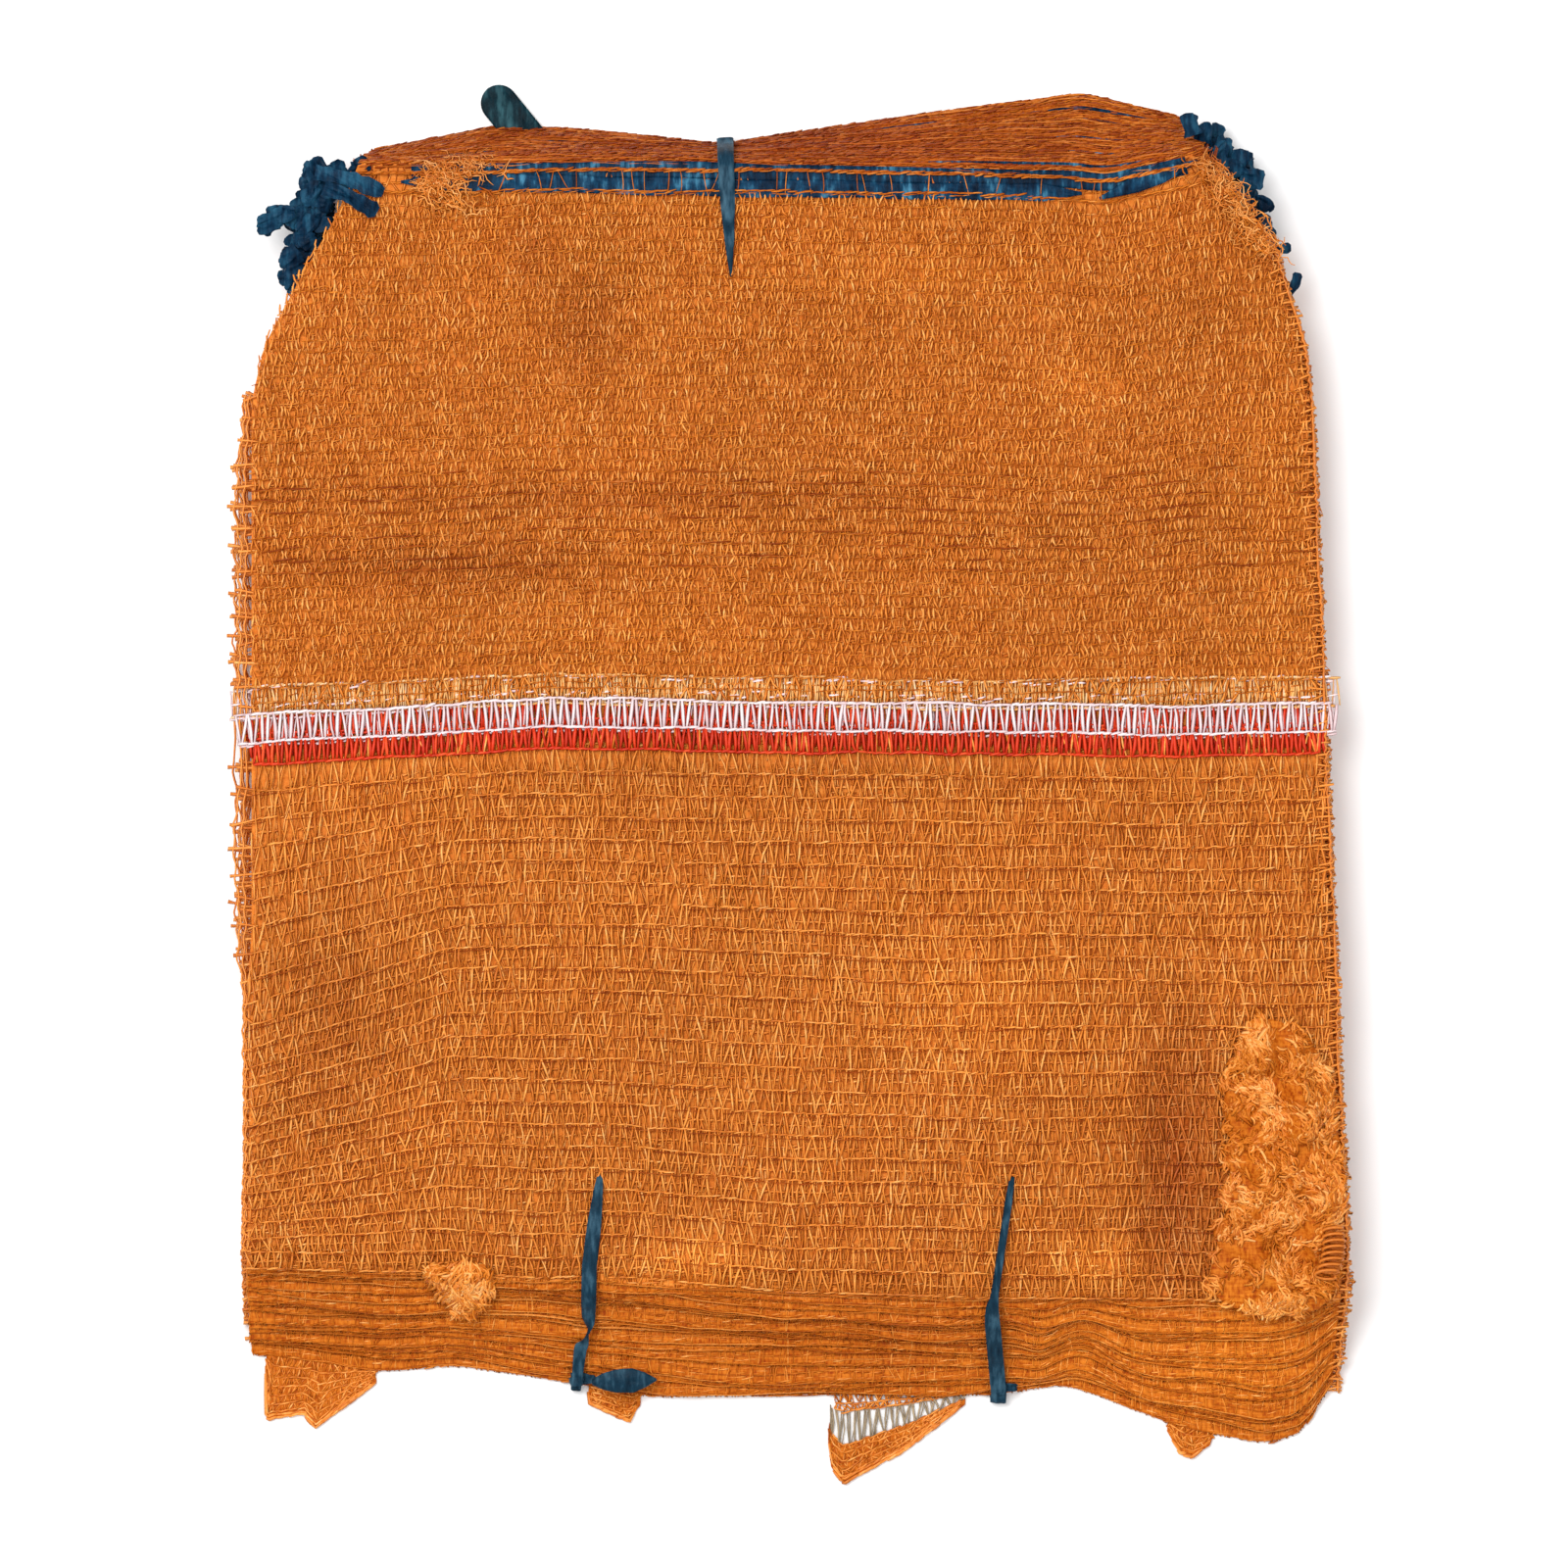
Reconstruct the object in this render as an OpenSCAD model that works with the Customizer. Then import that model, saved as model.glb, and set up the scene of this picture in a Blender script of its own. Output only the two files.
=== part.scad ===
// Tied bundle of flat raschel mesh produce bags, lying on its underside.
// +Y points to the bag mouths, +Z up. Bag 1 is the top one, and lower bags fan out at both ends.

/* [Bundle] */
// How many flat bags the bundle holds
bag_count = 17; // [12:1:17]
// Thickness of one flat bag, both walls of its net together
bag_t = 2.0; // [1.8:0.1:2.4]

/* [Tapes] */
// Width of the tie tapes that hold the bundle
tie_w = 6.2; // [5:0.1:7]
// Thickness of a tie tape, which is a folded film
tie_t = 0.7; // [0.5:0.1:0.8]
// Width of a gathered drawstring in its mouth course
string_w = 7.4; // [6:0.1:8]
// Thickness of a drawstring
string_t = 0.6; // [0.4:0.1:0.7]
// Width of the pull loop, which is a wide folded drawstring
loop_w = 15; // [12:0.5:16]
// Length of the pull loop, hidden part included
loop_len = 84; // [70:1:90]

/* [Stripe] */
// Width of the white stripe
white_w = 11; // [9:0.5:12]
// Width of the red stripe below it
red_w = 8.5; // [7:0.5:10]

/* [Hidden] */
stack_h = bag_count * bag_t;
eps = 1;            // how far a cut runs past the face that it opens
gap = 0.3;          // running clearance beside a piece that moves
tie_gap = 0.9;      // slack between a tie and the edges that it crosses
string_depth = 1.0; // depth of a drawstring's channel in its bag
stripe_t = 0.5;     // depth of a stripe of coloured yarn in its net
flap_t = 1.2;       // thickness of a loose corner
seam_t = 1.3;       // thickness of the overlocked selvedge
seam_w = 3.5;       // width of the right selvedge
hem = 1.6;          // from the mouth edge of a net to its drawstring

NET_COLOUR = [0.80, 0.41, 0.13];
SEAM_COLOUR = [0.86, 0.50, 0.20];
TAPE_COLOUR = [0.08, 0.29, 0.44];
WHITE_COLOUR = [0.92, 0.86, 0.86];
RED_COLOUR = [0.74, 0.16, 0.06];

// Mouth edge of the top bag, [x, y], and how much further out the lowest bag's edge lies
MOUTH = [[-156, 239.5], [-60, 241], [0, 240.5], [60, 239.5], [115, 237.5], [125, 235.5], [167, 245]];
MOUTH_FAN = [
    [-156, 9.5], [-113, 17.5], [-77, 14], [-25, 11], [38, 22.5], [100, 32], [123, 36], [158, 20], [167, 12]
];
MOUTH_X = [167, 158, 140, 123, 100, 60, 38, 0, -25, -60, -77, -113, -140, -156];
// Bottom fold of the top bag, and how much further out the lowest bag's fold lies
FOLD = [[-206, -190], [-130, -192], [-60, -193], [0, -199], [60, -202], [217, -202]];
FOLD_FAN = [
    [-206, 36], [-158, 41.5], [-131, 38], [-92, 42.5], [-54, 48], [13, 41], [60, 39.5], [85, 39],
    [110, 35], [127, 41], [154, 52], [173, 56], [192, 59], [208, 52], [217, 29]
];
FOLD_X = [-206, -180, -158, -131, -92, -54, 0, 13, 60, 85, 110, 127, 154, 173, 192, 208, 217];
// The sides, which all bags share: right from fold to mouth, left from mouth to fold
RIGHT_SIDE = [[219, -190], [217.5, -150], [213, -40], [209, 60], [205, 150], [202, 173], [190, 212]];
LEFT_SIDE = [[-174, 222], [-190, 200], [-206, 172], [-212, 150], [-212.5, 0], [-212, -150], [-210, -190]];
// Middle of the white stripe of the top bag
STRIPE = [[-212, 22.3], [-96, 27.8], [0, 26], [80, 25], [212, 26.2]];
STRIPE_X = [-211, -150, -96, -50, 0, 80, 150, 209];
STRIPE_RISE = 10; // how far above the top bag's stripe the second bag's stripe lies

// Ties: [hole x, hole y, heading in degrees from +X]
TIE_TOP = [-20.8, 199, 92.5];
TIE_LEFT = [-72, -152.8, 263.3];
TIE_RIGHT = [89.3, -154, 266.9];
// From each tie's hole to where it starts down over the edges, and to where it turns under
TIE_TOP_NEAR = 42;
TIE_TOP_FAR = 53.4;
TIE_LEFT_NEAR = 41;
TIE_LEFT_FAR = 85;
TIE_RIGHT_NEAR = 48.6;
TIE_RIGHT_FAR = 88.2;
GROOVE_RUN = 16;      // how far a tie's groove runs on past the tie
KNOT_R = 3.6;
KNOT_LIFT = 1.5;      // height of a knot's middle above its tie, in knot radii
KNOT_LEFT_AT = 82.5;  // from the left tie's hole to its knot
KNOT_RIGHT_AT = 84.5; // from the right tie's hole to its knot
TAIL_OFF = 5.5;       // from the middle of the left knot to the tail's bend
TAIL_Z = 12;          // height of the tail

LOOP_TIP = [-117, 274.33];
LOOP_TURN = 129; // heading of the loop's outward pull, in degrees from +X
LOOP_T = 0.8;
LOOP_SIDE = 0.6;  // clearance beside the loop in its bag
LOOP_ROOM = 30;   // how far the loop's channel runs on past its tip, to be open at the mouth
LOOP_BAG = bag_count - 1; // the bag whose mouth the loop comes out of

// Front and back run of the top bag's drawstring: [start x, start y, heading, length]
FRONT_RUN = [-150, 235.8, -1.03, 267];
BACK_RUN = [123.5, 229.5, 20, 41];
STRING_TRAVEL = 8;
FRONT_ROOM = 12;   // length of the front run's channel past its travel, for the string's end
BACK_ROOM = 2;     // length of the back run's channel past its travel
STRING_END = 22;   // length of the pulled-out end of the top bag's drawstring

// Where the tails' roots are strewn: [first x, first y, far x, far y]
TAILS_LEFT = [-166, 239, -197, 202];
TAILS_RIGHT = [176, 251, 204, 192];
// Heading of a tail: [at the first root, change over the line, scatter]
TAIL_HEADING_LEFT = [158, 44, 14];
TAIL_HEADING_RIGHT = [62, -48, 12];
// Length of a tail: [least, scatter]
TAIL_LENGTH_LEFT = [14, 8];
TAIL_LENGTH_RIGHT = [9, 5];

// Loose bag corners: hinge start, heading of the hinge line, then the outline below that line
FLAP_START = 0.8;
FLAP_LEFT = [-206, -227.8, -8.3];
FLAP_CENTRE = [-92, -236.8, -9];
FLAP_MID = [17, -243, 0];
FLAP_RIGHT = [150, -254, -14.5];
FLAP_LEFT_SHAPE = [[1, -FLAP_START], [5, -22.5], [19, -18], [24, -23], [33, -14], [47, -FLAP_START]];
FLAP_CENTRE_SHAPE = [[15, -FLAP_START], [16, -5], [33, -10], [35, -4.5], [37.5, -FLAP_START]];
FLAP_MID_SHAPE = [[0.5, -FLAP_START], [0.5, -15], [1.5, -26], [6, -33], [33, -18.5], [56, -FLAP_START]];
FLAP_RIGHT_SHAPE = [[1, -FLAP_START], [8, -8], [13, -9], [21, -FLAP_START]];

// Crumpled fabric that lies on the top bag
SIDE_BUNCH = [
    [176, -98], [192, -88], [212, -100], [215.5, -160], [215, -200], [172, -200], [168, -182], [180, -150]
];
SIDE_BUNCH_H = 6;
CRUMPLE = [[-142, -187], [-117, -185], [-115, -202], [-124, -206], [-140, -199]];
CRUMPLE_H = 2;

function name2(k) = str(k < 10 ? "0" : "", k);
function spread(k) = (k - 1) / (bag_count - 1);
function floor_z(k) = (bag_count - k) * bag_t;
function mouth_y(k, x) = lookup(x, MOUTH) + spread(k) * lookup(x, MOUTH_FAN);
function fold_y(k, x) = lookup(x, FOLD) - spread(k) * lookup(x, FOLD_FAN);
function net_outline(k) = concat(
    [for (x = FOLD_X) [x, fold_y(k, x)]],
    RIGHT_SIDE,
    [for (x = MOUTH_X) [x, mouth_y(k, x)]],
    LEFT_SIDE
);
function mouth_band(k, near, far) = concat(
    [for (x = MOUTH_X) if (x < 160 && x > -150) [x, mouth_y(k, x) - near]],
    [for (i = [len(MOUTH_X) - 1:-1:0]) if (MOUTH_X[i] < 160 && MOUTH_X[i] > -150)
        [MOUTH_X[i], mouth_y(k, MOUTH_X[i]) - far]]
);
function stripe_band(low, high) = concat(
    [for (x = STRIPE_X) [x, lookup(x, STRIPE) + low]],
    [for (i = [len(STRIPE_X) - 1:-1:0]) [STRIPE_X[i], lookup(STRIPE_X[i], STRIPE) + high]]
);
// Even scatter between 0 and 1, the same on every build
function scatter(k, step) = (k * step) - floor(k * step);

module slab(outline, z, t) {
    translate([0, 0, z]) linear_extrude(height = t) polygon(outline);
}

// Drawing along a tie: +X of the children runs from the tie's hole to the bundle's edge
module at_tie(tie) {
    translate([tie[0], tie[1], 0]) rotate([0, 0, tie[2]]) children();
}

module tie_cuts(tie) {
    at_tie(tie) translate([-tie_t / 2 - gap, -tie_w / 2 - gap, -eps])
        cube([tie_t + 2 * gap, tie_w + 2 * gap, stack_h + 2 * eps]);
}

module tie_groove(tie, reach) {
    at_tie(tie) translate([-tie_t / 2 - gap, -tie_w / 2 - gap, -eps])
        cube([reach + eps, tie_w + 2 * gap, tie_t + gap + eps]);
}

module run_channel(run, travel) {
    translate([run[0], run[1], stack_h - string_depth]) rotate([0, 0, run[2]])
        translate([-travel - gap, -string_w / 2 - gap, 0])
            cube([run[3] + 2 * travel + 2 * gap, string_w + 2 * gap, string_depth + eps]);
}

module loop_shape(grow, extra) {
    translate([LOOP_TIP[0], LOOP_TIP[1], 0]) rotate([0, 0, LOOP_TURN]) {
        translate([-loop_len, -loop_w / 2 - grow, 0])
            square([loop_len - loop_w / 2 + extra, loop_w + 2 * grow]);
        translate([-loop_w / 2 + extra, 0]) circle(r = loop_w / 2 + grow, $fn = 48);
        translate([-loop_len - grow, -loop_w / 2 - grow, 0]) square([2 * grow + eps, loop_w + 2 * grow]);
    }
}

// One bag's net: a sheet folded at its bottom, pressed flat
module net(k) {
    z = floor_z(k);
    color(NET_COLOUR) difference() {
        slab(net_outline(k), z, bag_t);
        for (tie = [TIE_TOP, TIE_LEFT, TIE_RIGHT]) tie_cuts(tie);
        if (k == bag_count) {
            tie_groove(TIE_TOP, TIE_TOP_FAR + GROOVE_RUN);
            tie_groove(TIE_LEFT, TIE_LEFT_FAR + GROOVE_RUN);
            tie_groove(TIE_RIGHT, TIE_RIGHT_FAR + GROOVE_RUN);
        }
        if (k == LOOP_BAG)
            translate([0, 0, z - eps]) linear_extrude(height = bag_t + 2 * eps)
                loop_shape(LOOP_SIDE, LOOP_ROOM);
        if (k == 1) {
            run_channel(FRONT_RUN, STRING_TRAVEL + FRONT_ROOM);
            run_channel(BACK_RUN, STRING_TRAVEL + BACK_ROOM);
        } else {
            slab(mouth_band(k, hem, hem + string_w), z + bag_t - string_depth, string_depth + eps);
        }
        stripe_cuts(k);
    }
}

module stripe_cuts(k) {
    rise = k == 1 ? 0 : STRIPE_RISE;
    translate([0, rise, 0])
        slab(stripe_band(-white_w / 2 - red_w, white_w / 2), floor_z(k) + bag_t - stripe_t, stripe_t + eps);
}

module white_stripe(k) {
    rise = k == 1 ? 0 : STRIPE_RISE;
    color(WHITE_COLOUR) translate([0, rise, 0])
        slab(stripe_band(-white_w / 2, white_w / 2), floor_z(k) + bag_t - stripe_t, stripe_t);
}

module red_stripe(k) {
    rise = k == 1 ? 0 : STRIPE_RISE;
    color(RED_COLOUR) translate([0, rise, 0])
        slab(stripe_band(-white_w / 2 - red_w, -white_w / 2), floor_z(k) + bag_t - stripe_t, stripe_t);
}

// A lower bag's drawstring, in the channel of its mouth course
module drawstring(k) {
    if (k != LOOP_BAG) {
        color(TAPE_COLOUR)
            slab(mouth_band(k, hem, hem + string_w), floor_z(k) + bag_t - string_depth, string_t);
    } else {
        color(TAPE_COLOUR) difference() {
            slab(mouth_band(k, hem, hem + string_w), floor_z(k) + bag_t - string_depth, string_t);
            translate([0, 0, floor_z(k)]) linear_extrude(height = bag_t) loop_shape(LOOP_SIDE, LOOP_ROOM);
        }
    }
}

module string_run(run) {
    color(TAPE_COLOUR) translate([run[0], run[1], stack_h - string_t - gap]) rotate([0, 0, run[2]])
        translate([0, -string_w / 2, 0]) cube([run[3], string_w, string_t]);
}

module drawstring_01_front_run() {
    string_run(FRONT_RUN);
}

module drawstring_01_back_run() {
    string_run(BACK_RUN);
}

// The pulled-out end of the top bag's drawstring, knotted flat beside the left shoulder
module drawstring_01_end() {
    outline = [
        [1, 0.6], [9, 0], [STRING_END, 0], [STRING_END, string_w], [6, string_w], [-2, string_w - 1.5]
    ];
    color(TAPE_COLOUR)
        translate([FRONT_RUN[0], FRONT_RUN[1], stack_h - string_t - gap]) rotate([0, 0, FRONT_RUN[2]])
            translate([-STRING_END, -string_w / 2, 0]) linear_extrude(height = string_t) polygon(outline);
}

module tape_tail(at, heading, length, z) {
    translate([at[0], at[1], z]) rotate([0, 0, heading]) linear_extrude(height = string_t + gap)
        polygon([[0, -3], [length - 4, -4], [length, -1], [length - 2, 4], [0, 3]]);
}

// Ends of the lower drawstrings, pulled out at the shoulders
module tape_tails(line, heading, length) {
    for (k = [2:bag_count]) {
        t = scatter(k, 0.618);
        color(TAPE_COLOUR) tape_tail(
            [line[0] + (line[2] - line[0]) * t, line[1] + (line[3] - line[1]) * t],
            heading[0] + heading[1] * t + heading[2] * scatter(k, 0.37),
            length[0] + length[1] * scatter(k, 0.47),
            floor_z(k) + gap);
    }
}

// Raw selvedge at the left, with its open end cells, and overlocked selvedge at the right
module side_seams_left() {
    for (k = [1:bag_count])
        color(SEAM_COLOUR) slab(
            [[-212.3, 149], [-216 - 5 * scatter(k, 0.618), 147], [-222.8, 60],
             [-219 - 3 * scatter(k, 0.43), -60], [-216, -149], [-212.3, -149], [-212.8, 0]],
            floor_z(k) + gap, seam_t);
}

module side_seams_right() {
    side = [for (i = [1:4]) RIGHT_SIDE[i]];
    for (k = [1:bag_count])
        color(SEAM_COLOUR) slab(
            concat([[222.8, -186], [219.3, -186]], side,
                   [for (i = [3:-1:0]) [side[i][0] + seam_w - 0.4 * scatter(k, 0.618), side[i][1]]]),
            floor_z(k) + gap, seam_t);
}

// A tie: one band through its hole, over the fanned edges, and back under the bundle
module tie(tie, near, far) {
    top = stack_h + tie_gap;
    low = bag_t + tie_gap;
    color(TAPE_COLOUR)
        at_tie(tie) translate([0, tie_w / 2, 0]) rotate([90, 0, 0]) linear_extrude(height = tie_w) difference() {
            polygon([[-tie_t / 2, 0], [-tie_t / 2, top + tie_t], [near + tie_gap, top + tie_t],
                     [far + tie_gap + tie_t, low + tie_t], [far + tie_gap + tie_t, 0]]);
            polygon([[tie_t / 2, tie_t], [tie_t / 2, top], [near + tie_gap, top],
                     [far + tie_gap, low], [far + tie_gap, tie_t]]);
        }
}

// A knot sits on the slope of a tie, flat side down
module knot(tie, at, near, far) {
    slope = (stack_h - bag_t) / (far - near);
    z = stack_h + tie_gap + tie_t - (at - near - tie_gap) * slope;
    color(TAPE_COLOUR) at_tie(tie) translate([at, 0, z + KNOT_R * KNOT_LIFT]) sphere(r = KNOT_R, $fn = 48);
}

function knot_place(tie, at) = [tie[0] + at * cos(tie[2]), tie[1] + at * sin(tie[2])];

// The long end of the left tie, which hinges beside its knot
module tie_left_tail() {
    p = knot_place(TIE_LEFT, KNOT_LEFT_AT);
    leaf = [[0.6, -2], [6, -4.5], [15, -5], [21, -3.2], [26, -1], [20, 3], [12, 4.6], [4, 3.6], [0.6, 2]];
    color(TAPE_COLOUR)
        translate([p[0] + TAIL_OFF, p[1], TAIL_Z - tie_t / 2]) linear_extrude(height = tie_t) polygon(leaf);
}

module pull_loop() {
    color(TAPE_COLOUR)
        translate([0, 0, floor_z(LOOP_BAG) + (bag_t - LOOP_T) / 2]) linear_extrude(height = LOOP_T)
            loop_shape(0, 0);
}

module flap(place, outline) {
    color(NET_COLOUR) translate([place[0], place[1], 0]) rotate([0, 0, place[2]])
        linear_extrude(height = flap_t) polygon(outline);
}

module side_bunch() {
    color(NET_COLOUR) slab(SIDE_BUNCH, stack_h, SIDE_BUNCH_H);
}

module crumpled_corner() {
    color(NET_COLOUR) slab(CRUMPLE, stack_h, CRUMPLE_H);
}

for (k = [1:bag_count]) net(k);
for (k = [2:bag_count]) drawstring(k);
drawstring_01_front_run();
drawstring_01_back_run();
drawstring_01_end();
white_stripe(1);  // white_stripe_01
red_stripe(1);  // red_stripe_01
white_stripe(2);  // white_stripe_02
red_stripe(2);  // red_stripe_02
for (k = [3:bag_count]) white_stripe(k);  // white_stripes_lower
for (k = [3:bag_count]) red_stripe(k);  // red_stripes_lower
side_seams_left();
side_seams_right();
tape_tails(TAILS_LEFT, TAIL_HEADING_LEFT, TAIL_LENGTH_LEFT);  // tape_tails_left
tape_tails(TAILS_RIGHT, TAIL_HEADING_RIGHT, TAIL_LENGTH_RIGHT);  // tape_tails_right
pull_loop();
tie(TIE_TOP, TIE_TOP_NEAR, TIE_TOP_FAR);  // tie_top
tie(TIE_LEFT, TIE_LEFT_NEAR, TIE_LEFT_FAR);  // tie_left
tie(TIE_RIGHT, TIE_RIGHT_NEAR, TIE_RIGHT_FAR);  // tie_right
knot(TIE_LEFT, KNOT_LEFT_AT, TIE_LEFT_NEAR, TIE_LEFT_FAR);  // tie_left_knot
knot(TIE_RIGHT, KNOT_RIGHT_AT, TIE_RIGHT_NEAR, TIE_RIGHT_FAR);  // tie_right_knot
tie_left_tail();
flap(FLAP_LEFT, FLAP_LEFT_SHAPE);  // corner_flap_left
flap(FLAP_CENTRE, FLAP_CENTRE_SHAPE);  // corner_flap_centre
flap(FLAP_MID, FLAP_MID_SHAPE);  // corner_flap_mid
flap(FLAP_RIGHT, FLAP_RIGHT_SHAPE);  // corner_flap_right
side_bunch();
crumpled_corner();
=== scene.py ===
"""A tied bundle of flat raschel mesh produce bags, knitted yarn by yarn around its CAD frame.

Lengths are millimetres in the bundle's own frame until Build.make() turns them into metres.
+Y points to the bag mouths, +Z up, and bag 1 is the top one.
"""
import math

import bpy
import numpy as np
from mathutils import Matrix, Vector


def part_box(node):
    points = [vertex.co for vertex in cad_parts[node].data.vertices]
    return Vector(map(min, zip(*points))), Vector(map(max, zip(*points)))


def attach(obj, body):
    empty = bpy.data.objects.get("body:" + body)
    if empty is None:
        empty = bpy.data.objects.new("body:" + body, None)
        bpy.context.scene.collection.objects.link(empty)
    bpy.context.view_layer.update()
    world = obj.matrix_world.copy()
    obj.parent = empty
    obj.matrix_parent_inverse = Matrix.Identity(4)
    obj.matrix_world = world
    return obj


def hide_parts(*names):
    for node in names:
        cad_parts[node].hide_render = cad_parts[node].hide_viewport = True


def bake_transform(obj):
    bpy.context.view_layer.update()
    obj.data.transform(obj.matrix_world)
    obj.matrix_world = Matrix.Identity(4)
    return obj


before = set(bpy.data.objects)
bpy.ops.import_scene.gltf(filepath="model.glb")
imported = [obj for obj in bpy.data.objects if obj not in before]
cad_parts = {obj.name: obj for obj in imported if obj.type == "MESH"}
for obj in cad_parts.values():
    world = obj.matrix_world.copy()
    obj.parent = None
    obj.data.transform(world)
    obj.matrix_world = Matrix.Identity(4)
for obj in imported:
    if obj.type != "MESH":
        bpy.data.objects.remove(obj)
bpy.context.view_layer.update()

# ---- sizes of the bundle
MM = 0.001
BAGS = sum(name.startswith("net_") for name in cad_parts)
STACK_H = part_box("net_01")[1].z / MM
BAG_T = (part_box("net_02")[1].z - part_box("net_02")[0].z) / MM
# Share of the fans' depth at which each bag's fold and mouth lie
FOLD_STEPS = [0, 0.035, 0.1, 0.13, 0.21, 0.25, 0.29, 0.41, 0.45, 0.49, 0.6, 0.64, 0.72, 0.83, 0.87, 0.94, 1]
MOUTH_STEPS = [0, 0, 0.09, 0.14, 0.22, 0.27, 0.36, 0.4, 0.47, 0.56, 0.6, 0.69, 0.76, 0.8, 0.88, 0.95, 1]
STRIPE_RISE = 10.0   # how far above the top bag's stripe the second bag's stripe lies
WHITE_W = 11.0
RED_W = 8.5
HEM = 1.6            # from a mouth edge to its drawstring
STRING_W = 7.4

# Edges of the top bag, [x, y], and how much further out the lowest bag's edges lie
MOUTH = [(-156, 239.5), (-60, 241), (0, 240.5), (60, 239.5), (115, 237.5), (125, 235.5), (167, 245)]
MOUTH_FAN = [(-168, 10.5), (-156, 12), (-113, 20), (-77, 17), (-25, 12), (38, 22.5), (100, 32), (123, 36),
             (158, 20), (167, 12)]
SECOND_MOUTH = 4.5   # how far the second bag's mouth lies above the first one's
FOLD = [(-206, -190), (-130, -192), (-60, -193), (0, -199), (60, -202), (217, -202)]
FOLD_FAN = [(-206, 36), (-158, 41.5), (-131, 38), (-92, 42.5), (-54, 48), (13, 41), (60, 39.5), (85, 39),
            (110, 35), (127, 41), (154, 52), (173, 56), (192, 59), (208, 52), (217, 29)]
RIGHT_SIDE = [(-231, 217), (-190, 219), (-150, 217.5), (-40, 213), (60, 209), (150, 205), (173, 202),
              (212, 190), (245, 167), (257, 163)]
LEFT_SIDE = [(-232, -206), (-222, -211), (-190, -211), (-150, -210), (-70, -210), (-60, -209), (150, -209),
             (172, -204), (200, -189), (222, -176), (240, -168), (250, -165), (257, -148)]
FOLD_WAVE = [(101, 8, -3.6), (119, 10, 3.4), (141, 14, -2.2)]   # x, reach, rise of the folds' wave
STRIPE = [(-212, 22.3), (-96, 27.8), (0, 26), (80, 25), (212, 26.2)]

# Ties: hole x, hole y, heading in degrees, and how far along it turns under the bundle
TIE_TOP = (-20.8, 199, 92.5, 53.4)
TIE_LEFT = (-72, -152.8, 263.3, 85)
TIE_RIGHT = (89.3, -154, 266.9, 88.2)
KNOT_LEFT_AT = 82.5  # how far along their ties the knots lie
KNOT_RIGHT_AT = 84.5
LOOP_TIP = (-117, 274.33)
LOOP_TURN = 129
LOOP_LEN = 84
LOOP_BAG = 16
LOOP_W = 15.0
FRONT_RUN = (-150, 235.8, -1.03, 267)
TAPE_LOW = 1.4       # how low a crumpled end of tape can lie
BACK_RUN = (123.5, 229.5, 20, 41)
TIE_SAG = 2.2        # how deep a tie presses the pile
SIDE_SAG = 2.0       # how far the pile falls towards its sides
RUN_Y = 233.5        # the pile lies even along this line, under the sliding drawstring

# Loose corners: hinge start, heading of the hinge line, then the depth below that line along it
FLAPS = {
    "left": ((-206, -227.8, -8.3), [(1, -0.8), (5, -22.5), (19, -18), (24, -23), (33, -14), (47, -0.8)]),
    "centre": ((-92, -236.8, -9), [(15, -0.8), (16, -5), (33, -10), (35, -4.5), (37.5, -0.8)]),
    "mid": ((17, -243, 0), [(0.5, -15), (1.5, -26), (6, -33), (33, -18.5), (56, -0.8)]),
    "right": ((150, -254, -14.5), [(1, -0.8), (8, -8), (13, -9), (21, -0.8)]),
}

# ---- sizes of the knit
LOW_ROWS = 24        # courses from the fold to the red stripe
UP_ROWS = 42         # courses from the white stripe to the drawstring's course
HEM_LINE = LOW_ROWS + 2 + UP_ROWS
MOUTH_LINE = HEM_LINE + 1
RUNG_STEP = 2.3      # between the rungs of a course
LOOP_STEP = 3.0      # between the loops of a chain
WALL_GAP = 0.55      # from the middle of a flat bag to each of its walls
EDGE_R = 1.2         # rounding of a pressed edge
EDGE_TEAR = 1.6      # how ragged the edge of a bunched piece is
RUNG_W, RUNG_T = 0.95, 0.40
CHAIN_W, CHAIN_T = 0.95, 0.60
TILT = 0.27          # slope of the courses left of the crease
TILT_X = -132

# Soft hills and hollows of the settled pile: x, y, reach across, reach along, turn, height
RELIEF = [
    (152, -150, 13, 50, -4, -7.0), (-132, -72, 7, 45, -10, -1.6), (-150, -80, 14, 50, -10, 1.6),
    (78, -95, 40, 55, 20, 2.2), (40, -120, 10, 50, -12, -1.6), (-130, 82, 60, 9, 3, -2.0),
    (20, -70, 7, 62, -48, -1.5), (52, -64, 7, 50, -50, 1.3),
    (-40, 112, 130, 6, 2, -1.2), (90, 118, 80, 7, -2, -1.0), (-95, 196, 22, 13, 25, 1.8),
    (-68, 178, 12, 22, 12, -1.6), (-178, 176, 26, 16, 40, 1.5), (-32, -186, 20, 7, 0, 1.8),
    (150, 120, 30, 40, 20, 1.4), (185, 60, 10, 60, 5, -1.4), (100, 205, 40, 10, -5, 1.2),
    (-190, -120, 16, 40, 0, -1.2), (-90, -140, 20, 22, 0, -1.5), (20, 40, 90, 10, 0, 0.9),
]
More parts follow.
